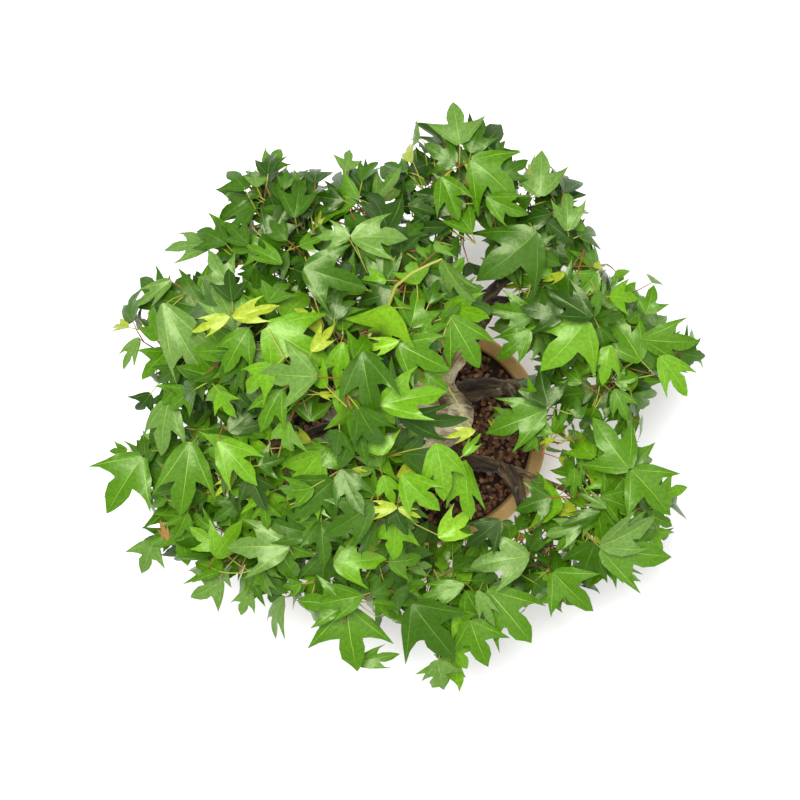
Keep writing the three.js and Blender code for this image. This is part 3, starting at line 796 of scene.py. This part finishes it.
def clay_finish():
    made = material("unglazed_clay", colour(180, 148, 88), 0.7)
    n = Nodes(made)
    broad = n.ramp(n.noise(16, 6), [(0.34, colour(158, 122, 66)), (0.64, colour(188, 154, 94))])
    grain = n.ramp(n.noise(1100, 3), [(0.3, (0.84, 0.78, 0.7, 1)), (0.5, (1, 1, 1, 1))])
    n.paint(n.mix(1.0, broad, grain, "MULTIPLY"))
    n.bump(n.noise(520, 5), 0.3, 0.0005)
    return made


def pale_shade(n):
    """Old bark: beige and grey, with fine dark wrinkle lines along the limb: darker bark, with painted shade
    in the grooves of the bump.
    """
    broad = n.ramp(n.noise(62, 7, (1, 1, 0.4)), [
        (0.36, colour(124, 106, 72)), (0.47, colour(182, 166, 128)), (0.62, colour(222, 212, 180)),
    ])
    # The wrinkle lines take the same noise as the bark's bump, so their dark is darker bark and also painted
    # shade in its grooves.
    wrinkles_and_groove_shade = n.ramp(n.noise(430, 9, (1, 1, 0.14)), [(0.4, (0.42, 0.34, 0.24, 1)), (0.49, (1, 1, 1, 1))])
    flakes = n.ramp(n.noise(210, 9, (1, 1, 0.6)), [(0.37, (0.5, 0.42, 0.32, 1)), (0.46, (1, 1, 1, 1))])
    shade = n.mix(0.8, n.mix(0.8, broad, wrinkles_and_groove_shade, "MULTIPLY"), flakes, "MULTIPLY")
    lichen = n.ramp(n.noise(40, 4), [(0.6, (0, 0, 0, 1)), (0.72, (0.4, 0.4, 0.4, 1))])
    return n.mix(lichen, shade, colour(150, 150, 104))


def dark_shade(n):
    """Young bark: dark brown, with painted shade that makes its furrow lines nearly black and painted
    highlights on pale ridges along the limb.
    """
    broad = n.ramp(n.noise(80, 6, (1, 1, 0.4)), [(0.38, colour(38, 28, 14)), (0.6, colour(90, 74, 46))])
    # Painted shade and painted highlight: the furrow lines are darkened nearly to black and the ridges
    # lightened by half.
    furrow_shade_and_ridge_highlight = n.ramp(n.noise(460, 9, (1, 1, 0.13)), [
        (0.38, (0.2, 0.17, 0.12, 1)), (0.5, (0.85, 0.85, 0.85, 1)), (0.62, (1.5, 1.5, 1.5, 1)),
    ])
    shade = n.mix(1.0, broad, furrow_shade_and_ridge_highlight, "MULTIPLY")
    flecks = n.ramp(n.noise(240, 7, (1, 1, 0.4)), [(0.6, (0, 0, 0, 1)), (0.7, (0.6, 0.6, 0.6, 1))])
    return n.mix(flecks, shade, colour(150, 138, 108))


def bark_finish(name, base, rings=()):
    """Bark whose grain follows the limbs, with painted shade in the hollow of each knot and in a thin ring
    just outside its rim.
    """
    made = material(name, base, 0.86)
    n = Nodes(made)
    n.place = n.node("ShaderNodeAttribute", attribute_name="grain").outputs["Vector"]
    # Dark young bark and pale old bark; where the trunk's top turns dark, that dark is also painted shade.
    age_and_shade = n.sum(n.node("ShaderNodeAttribute", attribute_name="age_and_shade").outputs["Fac"], n.noise(110, 6), 0.8)
    old = n.ramp(age_and_shade, [(0.82, (0, 0, 0, 1)), (0.98, (1, 1, 1, 1))])
    shade = n.mix(old, dark_shade(n), pale_shade(n))
    ripple = n.noise(150, 5)
    # Painted shade: the hollow of each knot is darkened to dark brown, and a thin ring just outside its rim a
    # little.
    for spot, width in rings:
        away = n.node("ShaderNodeVectorMath", operation="DISTANCE")
        n.link(n.node("ShaderNodeTexCoord").outputs["Object"], away.inputs[0])
        away.inputs[1].default_value = spot * MM
        ragged = n.sum(n.times(away.outputs["Value"], 0.25 / (width * MM)), ripple, 0.12)
        shade = n.mix(n.ramp(ragged, [
            (0.1, (1, 1, 1, 1)), (0.22, (0.75, 0.75, 0.75, 1)), (0.3, (0, 0, 0, 1)),
            (0.36, (0.35, 0.35, 0.35, 1)), (0.48, (0, 0, 0, 1)),
        ]), shade, colour(66, 44, 26))
    n.paint(shade)
    n.bump(n.noise(430, 9, (1, 1, 0.14)), 0.9, 0.0018)
    return made


def leaf_finish(name, base, rough=0.34):
    """A blade a little mottled and quilted between its veins."""
    made = material(name, base, rough, Specular_IOR_Level=0.38, Specular_Tint=LEAF_SHEEN)
    n = Nodes(made)
    shaded = tuple(part * 0.84 for part in base[:3]) + (1,)
    bright = tuple(min(part * 1.14, 1) for part in base[:3]) + (1,)
    n.paint(n.ramp(n.noise(420, 6), [(0.36, shaded), (0.64, bright)]))
    n.bump(n.noise(300, 3), 0.22, 0.001)
    return made


def grit_finish(name, dark, light):
    made = material(name, dark, 0.95)
    n = Nodes(made)
    n.paint(n.ramp(n.noise(230, 4), [(0.35, dark), (0.65, light)]))
    n.bump(n.noise(700, 4), 0.5, 0.0006)
    return made


# The pot.

def select_faces(ob, test):
    """Selects the faces that pass a test of centre and normal, in edit mode."""
    bpy.ops.mesh.select_all(action="DESELECT")
    bpy.ops.mesh.select_mode(type="FACE")
    mesh = bmesh.from_edit_mesh(ob.data)
    for face in mesh.faces:
        face.select_set(test(face.calc_center_median(), face.normal))
    bmesh.update_edit_mesh(ob.data)


def pull_rings(profile, radius, height):
    """Pulls the selected face up ring by ring to each radius and height of a profile."""
    for wide, high in profile:
        bpy.ops.mesh.extrude_region_move(TRANSFORM_OT_translate={"value": (0, 0, (high - height) * MM)})
        share = wide / radius
        bpy.ops.transform.resize(value=(share, share, 1), center_override=(0, 0, high * MM))
        radius, height = wide, high


def draw_out(ob):
    """Draws a round shape out into the pot's oval, in edit mode."""
    for side in (-1, 1):
        bpy.ops.mesh.select_all(action="DESELECT")
        bpy.ops.mesh.select_mode(type="VERT")
        mesh = bmesh.from_edit_mesh(ob.data)
        for vertex in mesh.verts:
            vertex.select_set(vertex.co.x * side > 1e-5)
        bmesh.update_edit_mesh(ob.data)
        bpy.ops.transform.translate(value=(side * POT["straight"] / 2 * MM, 0, 0))


def apply_all(ob):
    only(ob)
    for modifier in list(ob.modifiers):
        bpy.ops.object.modifier_apply(modifier=modifier.name)


def oval_pot():
    """The pot: a round profile pulled up ring by ring, then drawn out into an oval."""
    r, h, rim, floor = POT["end_radius"], POT["height"], POT["rim"], POT["floor"]
    sides = 96
    foot, step = FOOT["radius"], FOOT["height"]
    profile = [
        (foot + 0.8, 0.8), (foot + 1.6, step - 1), (foot + 2.2, step),
        (r - 15.5, step + 5), (r - 11.2, step + 12), (r - 8.4, 28), (r - 6.2, h - 30),
        (r - 5.0, h - 18), (r - 4.6, h - 11.4), (r - 3.6, h - 10), (r - 1.4, h - 8.8), (r - 0.3, h - 6.6),
        (r, h - 4), (r - 0.3, h - 2), (r - 1.3, h - 0.6), (r - 2.8, h), (r - rim + 2.2, h),
        (r - rim + 0.7, h - 0.6), (r - rim, h - 2.2), (r - rim - 0.6, h - 12), (r - rim - 1.2, h - 30),
        (r - rim - 8, floor + 3), (r - rim - 14, floor),
    ]
    bpy.ops.object.select_all(action="DESELECT")
    bpy.ops.mesh.primitive_circle_add(
        vertices=sides, radius=foot * MM, fill_type="NGON", rotation=(0, 0, math.pi / sides)
    )
    pot = bpy.context.active_object
    pot.name = "oval_pot"
    bpy.ops.object.transform_apply(location=False, rotation=True, scale=True)
    bpy.ops.object.mode_set(mode="EDIT")
    bpy.ops.mesh.select_all(action="SELECT")
    pull_rings(profile, foot, 0)
    draw_out(pot)
    bpy.ops.mesh.select_all(action="SELECT")
    bpy.ops.mesh.normals_make_consistent(inside=False)
    bpy.ops.object.mode_set(mode="OBJECT")
    for side in (-1, 1):
        bpy.ops.mesh.primitive_cube_add(size=1, location=(side * DRAIN["x"] * MM, 0, 0))
        channel = bpy.context.active_object
        channel.scale = (FOOT["channel_width"] * MM, 0.4, 2 * FOOT["channel_height"] * MM)
        bpy.ops.mesh.primitive_cylinder_add(
            vertices=48, radius=DRAIN["radius"] * MM, depth=0.08, location=(side * DRAIN["x"] * MM, 0, 0)
        )
        hole = bpy.context.active_object
        for cutter in (channel, hole):
            cut = pot.modifiers.new("cut", "BOOLEAN")
            cut.operation, cut.object, cut.solver = "DIFFERENCE", cutter, "EXACT"
            only(pot)
            bpy.ops.object.modifier_apply(modifier=cut.name)
            bpy.data.objects.remove(cutter)
    soften = pot.modifiers.new("worn edges", "BEVEL")
    soften.width, soften.segments = 0.6 * MM, 2
    soften.limit_method, soften.angle_limit = "ANGLE", math.radians(50)
    apply_all(pot)
    bpy.ops.object.shade_smooth_by_angle(angle=math.radians(35))
    return pot


# The soil.

def oval_reach(x, y):
    """How far a point is from the straight line in the middle of the pot's oval."""
    return math.hypot(max(abs(x) - POT["straight"] / 2, 0), y)


def soil_height(x, y):
    """The soil's height: flat in the middle, lower at the rim, and a little uneven."""
    fall = max(0, oval_reach(x, y) - SOIL["flat_radius"]) / SOIL["edge_width"]
    return SOIL["level"] - SOIL["edge_drop"] * fall + SOIL["ripple"] * math.sin(x / 9) * math.cos(y / 11)


def soil_bed():
    """The bed under the granules: a disc drawn out into the pot's oval."""
    r, rim, floor = POT["end_radius"], POT["rim"], POT["floor"]
    bpy.ops.object.select_all(action="DESELECT")
    sides, start = 64, r - rim - 16
    bpy.ops.mesh.primitive_cylinder_add(
        vertices=sides, radius=start * MM, depth=1 * MM, location=(0, 0, (floor + 0.9) * MM),
        rotation=(0, 0, math.pi / sides),
    )
    bed = bpy.context.active_object
    bed.name = "soil_bed"
    bpy.ops.object.transform_apply(location=True, rotation=True, scale=True)
    bpy.ops.object.mode_set(mode="EDIT")
    select_faces(bed, lambda centre, normal: normal.z > 0.9)
    profile = [
        (r - rim - 9, floor + 4), (r - rim - 1.8, POT["height"] - 30), (r - rim - 1.2, SOIL["level"] - 5),
        (SOIL["flat_radius"], SOIL["level"] - 2.4), (20, SOIL["level"] - 2.2),
    ]
    pull_rings(profile, start, floor + 1.4)
    draw_out(bed)
    bpy.ops.object.mode_set(mode="OBJECT")
    bpy.ops.object.shade_smooth_by_angle(angle=math.radians(40))
    return bed


GRANULE_POINTS = [
    (0, 0, -1), (0.72, -0.53, -0.45), (-0.28, -0.85, -0.45), (-0.89, 0, -0.45), (-0.28, 0.85, -0.45),
    (0.72, 0.53, -0.45), (0.28, -0.85, 0.45), (-0.72, -0.53, 0.45), (-0.72, 0.53, 0.45), (0.28, 0.85, 0.45),
    (0.89, 0, 0.45), (0, 0, 1),
]
GRANULE_FACES = [
    (0, 1, 2), (1, 0, 5), (0, 2, 3), (0, 3, 4), (0, 4, 5), (1, 5, 10), (2, 1, 6),
    (3, 2, 7), (4, 3, 8), (5, 4, 9), (1, 10, 6), (2, 6, 7), (3, 7, 8), (4, 8, 9),
    (5, 9, 10), (6, 10, 11), (7, 6, 11), (8, 7, 11), (9, 8, 11), (10, 9, 11),
]


def granules(materials):
    """Baked-clay granules strewn over the soil, clear of the trunk's foot."""
    chance = np.random.default_rng(7)
    heap = Heap()
    shape = np.array(GRANULE_POINTS)
    reach = POT["end_radius"] - POT["rim"] - 3.2
    laid = 0
    while laid < GRANULES["count"]:
        x = chance.uniform(-POT["straight"] / 2 - reach, POT["straight"] / 2 + reach)
        y = chance.uniform(-reach, reach)
        from_foot = math.hypot(x - BARE_FOOT["x"], y - BARE_FOOT["y"])
        if oval_reach(x, y) >= reach or from_foot < BARE_FOOT["radius"]:
            continue
        size = chance.uniform(GRANULES["smallest"], GRANULES["largest"])
        turn = Matrix.Rotation(chance.uniform(0, 6.28), 3, Vector(chance.normal(size=3)).normalized())
        points = shape * (1 + chance.uniform(-0.22, 0.22, (12, 1))) * chance.uniform(0.8, 1.15, 3) * size
        points = points @ np.array(turn).T
        points += (x, y, soil_height(x, y) - size * chance.uniform(0.2, 0.95))
        heap.add(points, GRANULE_FACES, int(chance.choice(4, p=(0.42, 0.3, 0.2, 0.08))))
        laid += 1
    return heap.piece("soil_granules", materials, 20)


# Trunk and boughs.

def limb_curve(name, limb, first, last, count, extra=lambda t: 0):
    """A limb as a round curve of changing thickness, turned into a mesh."""
    data = bpy.data.curves.new(name, "CURVE")
    data.dimensions, data.bevel_depth, data.bevel_resolution, data.use_fill_caps = "3D", MM, 5, True
    spline = data.splines.new("POLY")
    spline.points.add(count)
    for i, spot in enumerate(spline.points):
        t = first + (last - first) * i / count
        point, radius = limb(t)
        spot.co = (*(point * MM), 1)
        spot.radius = radius + extra(t)
    ob = bpy.data.objects.new(name, data)
    bpy.context.scene.collection.objects.link(ob)
    only(ob)
    bpy.ops.object.convert(target="MESH")
    return bpy.context.active_object


def surface_root(k):
    """One root that runs down the trunk's foot and out under the granules."""
    angle = (2 * math.pi * k + ROOTS["turn"]) / ROOTS["count"]

    def limb(t):
        out = ROOTS["start"] + ROOTS["run"] * t ** 1.3
        x = ROOTS["x"] + math.cos(angle + ROOTS["veer"] * t) * out
        y = ROOTS["y"] + math.sin(angle + ROOTS["veer"] * t) * out
        z = ROOTS["top"] - ROOTS["drop"] * t ** 0.55
        return Vector((x, y, z)), ROOTS["radius"] - ROOTS["taper"] * t

    return limb


def joined(name, parts):
    """Joins meshes into one piece."""
    only(parts[0])
    for part in parts:
        part.select_set(True)
    bpy.context.view_layer.objects.active = parts[0]
    bpy.ops.object.join()
    made = bpy.context.active_object
    made.name = name
    return made


def fused(ob, voxel):
    """Fuses limbs into one closed skin."""
    only(ob)
    fuse = ob.modifiers.new("fuse", "REMESH")
    fuse.mode, fuse.voxel_size = "VOXEL", voxel * MM
    smooth = ob.modifiers.new("smooth", "SMOOTH")
    smooth.factor, smooth.iterations = 0.5, 3
    apply_all(ob)


def flakes(place, size):
    """0 to 1: plates of bark with stepped edges, longer than wide."""
    level = 3 * (0.5 + 0.5 * noise.fractal(Vector((place.x, place.y, place.z * 0.4)) / size, 0.9, 2.1, 4))
    step = level - math.floor(level)
    return (math.floor(level) + min(step * 4, 1)) / 3


def knot_rings(ob):
    """Where the knots lie on a trunk's skin."""
    skin = BVHTree.FromObject(ob, bpy.context.evaluated_depsgraph_get())
    found = [(skin.ray_cast(Vector(start) * MM, Vector(way))[0], width) for start, way, width in KNOTS]
    return [(spot / MM, width) for spot, width in found if spot]


class Grain:
    """The limbs under one piece of bark, straightened, so that its grain runs along them."""

    def __init__(self):
        self.limbs = []

    def add(self, limb, age_and_shade):
        """Age and shade tell how old the bark is, 1 or more to 0, so many mm from the limb's root; where the
        trunk's top turns dark, they also stand for painted shade.
        """
        run, before, side = 0, limb(0)[0], direction(limb, 0).orthogonal().normalized()
        stations, tree = [], KDTree(61)
        for i in range(61):
            point, radius = limb(i / 60)
            ahead = direction(limb, i / 60)
            side = (side - ahead * side.dot(ahead)).normalized()
            run += (point - before).length
            before = point
            stations.append((point, radius, run, side, ahead.cross(side), ahead))
            tree.insert(point, i)
        tree.balance()
        self.limbs.append((tree, stations, age_and_shade))

    def at(self, point):
        """A point's place in its straightened limb, the limb's radius, how old the bark is with its painted
        shade, and 0 to 1 with the distance from where another limb's bark begins."""
        near = []
        for number, (tree, stations, age_and_shade) in enumerate(self.limbs):
            _, i, apart = tree.find(point)
            near.append((apart / stations[i][1], number, i))
        near.sort()
        share, number, i = near[0]
        clear = min(max((near[1][0] - share) / 0.3, 0), 1)
        _, stations, age_and_shade = self.limbs[number]
        centre, radius, run, side, other, ahead = stations[i]
        off = point - centre
        run += off.dot(ahead)
        return Vector((off.dot(side), off.dot(other), run)), radius, age_and_shade(run), clear


def raise_bark(ob, grain, relief, rings=()):
    """Moves each point of a limb's skin along its normal: swellings, flakes and knots."""
    mesh = ob.data
    swell, plate = relief["swell"], relief["plate"]
    places, ages = [], []
    normals = [vertex.normal.copy() for vertex in mesh.vertices]
    for vertex, normal in zip(mesh.vertices, normals):
        point = vertex.co / MM
        place, radius, age_and_shade, clear = grain.at(point)
        places.extend(place * MM)
        ages.append(age_and_shade)
        high = min(swell[1], SWELL_SHARE * radius) * noise.fractal(point / swell[0], 1.0, 2.0, 3)
        high += clear * min(plate[1], PLATE_SHARE * radius) * (flakes(place, plate[0]) - 0.5)
        along_grain = Vector((place.x, place.y, place.z * WRINKLE["stretch"]))
        high += clear * WRINKLE["height"] * noise.noise(along_grain / WRINKLE["width"])
        for spot, width in rings:
            away = (point - spot).length / width
            if away < 2:
                rim = KNOT["rim"] * math.exp(-((away - 1) / KNOT["rim_width"]) ** 2)
                high += rim - KNOT["hollow"] * math.exp(-((away / KNOT["hollow_width"]) ** 2))
        vertex.co += normal * high * MM
    mesh.attributes.new("grain", "FLOAT_VECTOR", "POINT").data.foreach_set("vector", places)
    mesh.attributes.new("age_and_shade", "FLOAT", "POINT").data.foreach_set("value", ages)
    mesh.update()
    only(ob)
    bpy.ops.object.shade_smooth_by_angle(angle=math.radians(60))


def cut_at_soil(ob):
    """Takes off what is under the soil and closes the cut."""
    only(ob)
    bpy.ops.object.mode_set(mode="EDIT")
    bpy.ops.mesh.select_all(action="SELECT")
    level = (SOIL["level"] - 1.5) * MM
    bpy.ops.mesh.bisect(plane_co=(0, 0, level), plane_no=(0, 0, 1), clear_inner=True, use_fill=True)
    bpy.ops.object.mode_set(mode="OBJECT")


def collar_swell(t):
    """What the trunk's bark adds to the pale bough, until it goes on under the bough's own bark, mm."""
    return 2.6 * math.exp(-t / 0.07) + 1.2 - 3.4 * max(t - 0.34, 0) / 0.12


def bough_swell(flare):
    """What a bough's bark adds: a flare at its root, and a tip as thin as the twig that goes on."""
    return lambda t: flare * math.exp(-t / 0.07) + 0.7 * (1 - t) - 0.8 * max(t - 0.75, 0) / 0.25


def hidden_start(t):
    """What the north bough's own bark adds: it comes out from under the trunk's bark."""
    return 1.2 - 3.4 * max(0.42 - t, 0) / 0.12 - 0.8 * max(t - 0.75, 0) / 0.25


def fading(start, end):
    """Bark that grows young between these distances from the root, mm."""
    return lambda run: 1 - min(max((run - start) / (end - start), 0), 1)


def ride_as(piece, slot, *nodes):
    """Puts a piece on the root body and hides the solids that it replaces. Its slot is not used."""
    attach(piece, "root")
    if nodes:
        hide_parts(*nodes)


# Putting it together.

clay = clay_finish()
pot = oval_pot()
pot.data.materials.append(clay)
ride_as(pot, "pot_clay", "pot")

bed = soil_bed()
# The bed stands for the soil deep between the granules: dark soil, made nearly black with painted shade.
bed.data.materials.append(grit_finish("soil_dark_painted_shade", colour(20, 12, 6), colour(54, 38, 24)))
ride_as(bed, "soil", "soil")
grit = granules([
    grit_finish("granule_red", colour(92, 58, 38), colour(146, 100, 70)),
    grit_finish("granule_brown", colour(72, 48, 28), colour(124, 90, 58)),
    grit_finish("granule_dark", colour(40, 24, 12), colour(82, 56, 34)),
    grit_finish("granule_pale", colour(132, 102, 70), colour(178, 146, 108)),
])
ride_as(grit, "soil")

# How far up from the trunk each bough's bark is old and pale.
PALE_ROOTS = {"north": fading(52, 100), "east": fading(-30, 6), "southeast": fading(-30, 6)}

trunk_parts = [limb_curve("trunk_bark", trunk_limb, 0.0, 1.0, 60)]
trunk_grain = Grain()
# The trunk's top turns to dark young bark: younger bark, and also painted shade where the upper trunk lies
# under the crown.
trunk_grain.add(trunk_limb, fading(190, 330))
for k in range(ROOTS["count"]):
    trunk_parts.append(limb_curve("root", surface_root(k), 0.0, 1.0, 14))
    trunk_grain.add(surface_root(k), lambda run: 1)
trunk_parts.append(limb_curve("collar", limbs["north"], 0.0, 0.46, 24, collar_swell))
trunk_grain.add(limbs["north"], PALE_ROOTS["north"])
trunk = joined("trunk_bark", trunk_parts)
fused(trunk, 1.2)
rings = knot_rings(trunk)
raise_bark(trunk, trunk_grain, TRUNK_RELIEF, rings)
cut_at_soil(trunk)
trunk.data.materials.clear()
trunk.data.materials.append(bark_finish("flaking_bark", colour(190, 176, 140), rings))
ride_as(trunk, "bark", "trunk")

bough_parts = []
bough_grain = Grain()
for name, on in [branch[:2] for branch in BRANCHES]:
    if name == "north":
        bough_parts.append(limb_curve("bough", limbs[name], 0.3, 1.0, 40, hidden_start))
    elif name in limbs:
        swell = bough_swell(3.0 if on == "trunk" else -1.5)
        bough_parts.append(limb_curve("bough", limbs[name], 0.0, 1.0, 40, swell))
    if name in limbs:
        age_and_shade = PALE_ROOTS.get(name, fading(6, 26) if on == "trunk" else fading(-90, -30))
        bough_grain.add(limbs[name], age_and_shade)
boughs = joined("boughs_bark", bough_parts)
fused(boughs, 1.0)
raise_bark(boughs, bough_grain, BOUGH_RELIEF)
boughs.data.materials.clear()
boughs.data.materials.append(bark_finish("dark_bark", colour(84, 70, 48)))
ride_as(boughs, "bough_bark", *["bough_" + name for name in limbs if name != "trunk"])

leaf_materials = [
    leaf_finish("leaf_deep", colour(30, 62, 4)),
    leaf_finish("leaf_green", colour(48, 86, 6)),
    leaf_finish("leaf_fresh", colour(68, 112, 8)),
    leaf_finish("leaf_light", colour(90, 138, 14)),
    leaf_finish("leaf_young", colour(116, 162, 28)),
    leaf_finish("leaf_lime", colour(140, 156, 36)),
    leaf_finish("leaf_bronze", colour(128, 112, 40)),
    leaf_finish("leaf_dry", colour(142, 98, 56), 0.7),
    leaf_finish("leaf_grey", colour(88, 122, 50)),
    material("pale_vein", colour(124, 164, 54), 0.46, Specular_Tint=LEAF_SHEEN),
    material("deep_vein", colour(84, 124, 30), 0.46, Specular_Tint=LEAF_SHEEN),
    material("leaf_underside", colour(104, 132, 60), 0.6, Specular_Tint=LEAF_SHEEN),
    material("leaf_stalk", colour(150, 152, 58), 0.5),
    material("red_stalk", colour(134, 78, 40), 0.5),
]
twig_finish = grit_finish("twig_bark", colour(74, 52, 30), colour(122, 94, 60))

all_rods, all_nodes = [], []
for index, mass in enumerate(masses):
    rods, nodes = grow_twigs(mass, index)
    all_rods.append(rods)
    all_nodes.append(nodes)

points, faces = [], []
for rod in (rod for rods in all_rods for rod in rods):
    made, sides = tube(rod, 3)
    faces += [[i + len(points) for i in side] for side in sides]
    points += made
rods_tree = BVHTree.FromPolygons(points, faces)

foliage = Foliage(rods_tree)
nodes_of = {mass.name: [node for node, azimuth in nodes] for mass, nodes in zip(masses, all_nodes)}
for row in STANDOUTS:
    foliage.set_standout(*row, nodes_of)
sprays = [
    [DEEP, GREEN, GREEN, FRESH], [GREEN, GREEN, FRESH, FRESH], [GREEN, FRESH, FRESH, LIGHT],
    [FRESH, FRESH, LIGHT, LIGHT], [GREEN, FRESH, GREY, LIGHT],
]
# A leaf at each node, then a smaller one opposite it.
for opposite, size, tries in [(0, 1, LEAF["tries"]), (math.pi, 0.86, LEAF["tries"] // 2)]:
    for mass, nodes in zip(masses, all_nodes):
        for number, (node, azimuth) in enumerate(nodes):
            if number % 5 == 0:
                spray = sprays[int(mass.roll() * len(sprays))]
            green = spray[int(mass.roll() * len(spray))]
            if green < GREY:
                green = max(green - DARKER.get(mass.name, 0), 0)
            if mass.roll() < YOUNG_LEAVES["share"]:
                green = LIME if mass.roll() < YOUNG_LEAVES["lime"] else BRONZE
            foliage.grow(mass, node, azimuth + opposite, green, size, tries)

arch = [seen(*place) for place in ARCH]
arch.insert(0, min(nodes_of["apex"], key=lambda spot: (spot - arch[0]).length))
shoot = [(point, 1.3 - 0.12 * i) for i, point in enumerate(arch)]
foliage.heaps[0].add(*tube(shoot, 6), STALK)

for mass, rods, heap in zip(masses, all_rods, foliage.heaps):
    leaves = heap.piece("foliage_" + mass.name, leaf_materials, 50)
    ride_as(leaves, "leaf_green", "leaves_" + mass.name)
    twigs = Heap()
    for rod in rods:
        twigs.add(*tube(rod, 5), 0)
    ride_as(twigs.piece("twigs_" + mass.name, [twig_finish], 60), "bough_bark")

# Floor, light and camera.

bpy.ops.object.select_all(action="DESELECT")
bpy.ops.mesh.primitive_plane_add(size=FLOOR_WIDTH, location=(0, 0, 0))
floor = bpy.context.active_object
floor.name = "studio_floor"
floor.data.materials.append(material("studio_white", (0.97, 0.97, 0.97, 1), 0.9))

world = bpy.data.worlds.new("studio")
world.use_nodes = True
world.node_tree.nodes["Background"].inputs["Color"].default_value = (1, 1, 1, 1)
world.node_tree.nodes["Background"].inputs["Strength"].default_value = AMBIENT
bpy.context.scene.world = world


def softbox(name, place, size, power):
    """A soft square light that faces the crown."""
    light = bpy.data.lights.new(name, "AREA")
    light.energy, light.size = power, size
    ob = bpy.data.objects.new(name, light)
    ob.location = place
    ob.rotation_euler = (Vector((0, 0, 0.2)) - Vector(place)).to_track_quat("-Z", "Y").to_euler()
    bpy.context.scene.collection.objects.link(ob)


for name, (place, size, power) in SOFTBOXES.items():
    softbox(name, place, size, power)

camera = bpy.data.objects.new("camera", bpy.data.cameras.new("camera"))
camera.location = (CAMERA["x"] * MM, CAMERA["y"] * MM, CAMERA["height"] * MM)
camera.data.sensor_width = CAMERA["sensor"]
camera.data.lens = CAMERA["sensor"] * CAMERA["scale"] / (2 * CAMERA["middle"])
bpy.context.scene.collection.objects.link(camera)
bpy.context.scene.camera = camera
bpy.context.scene.view_settings.view_transform = "Standard"
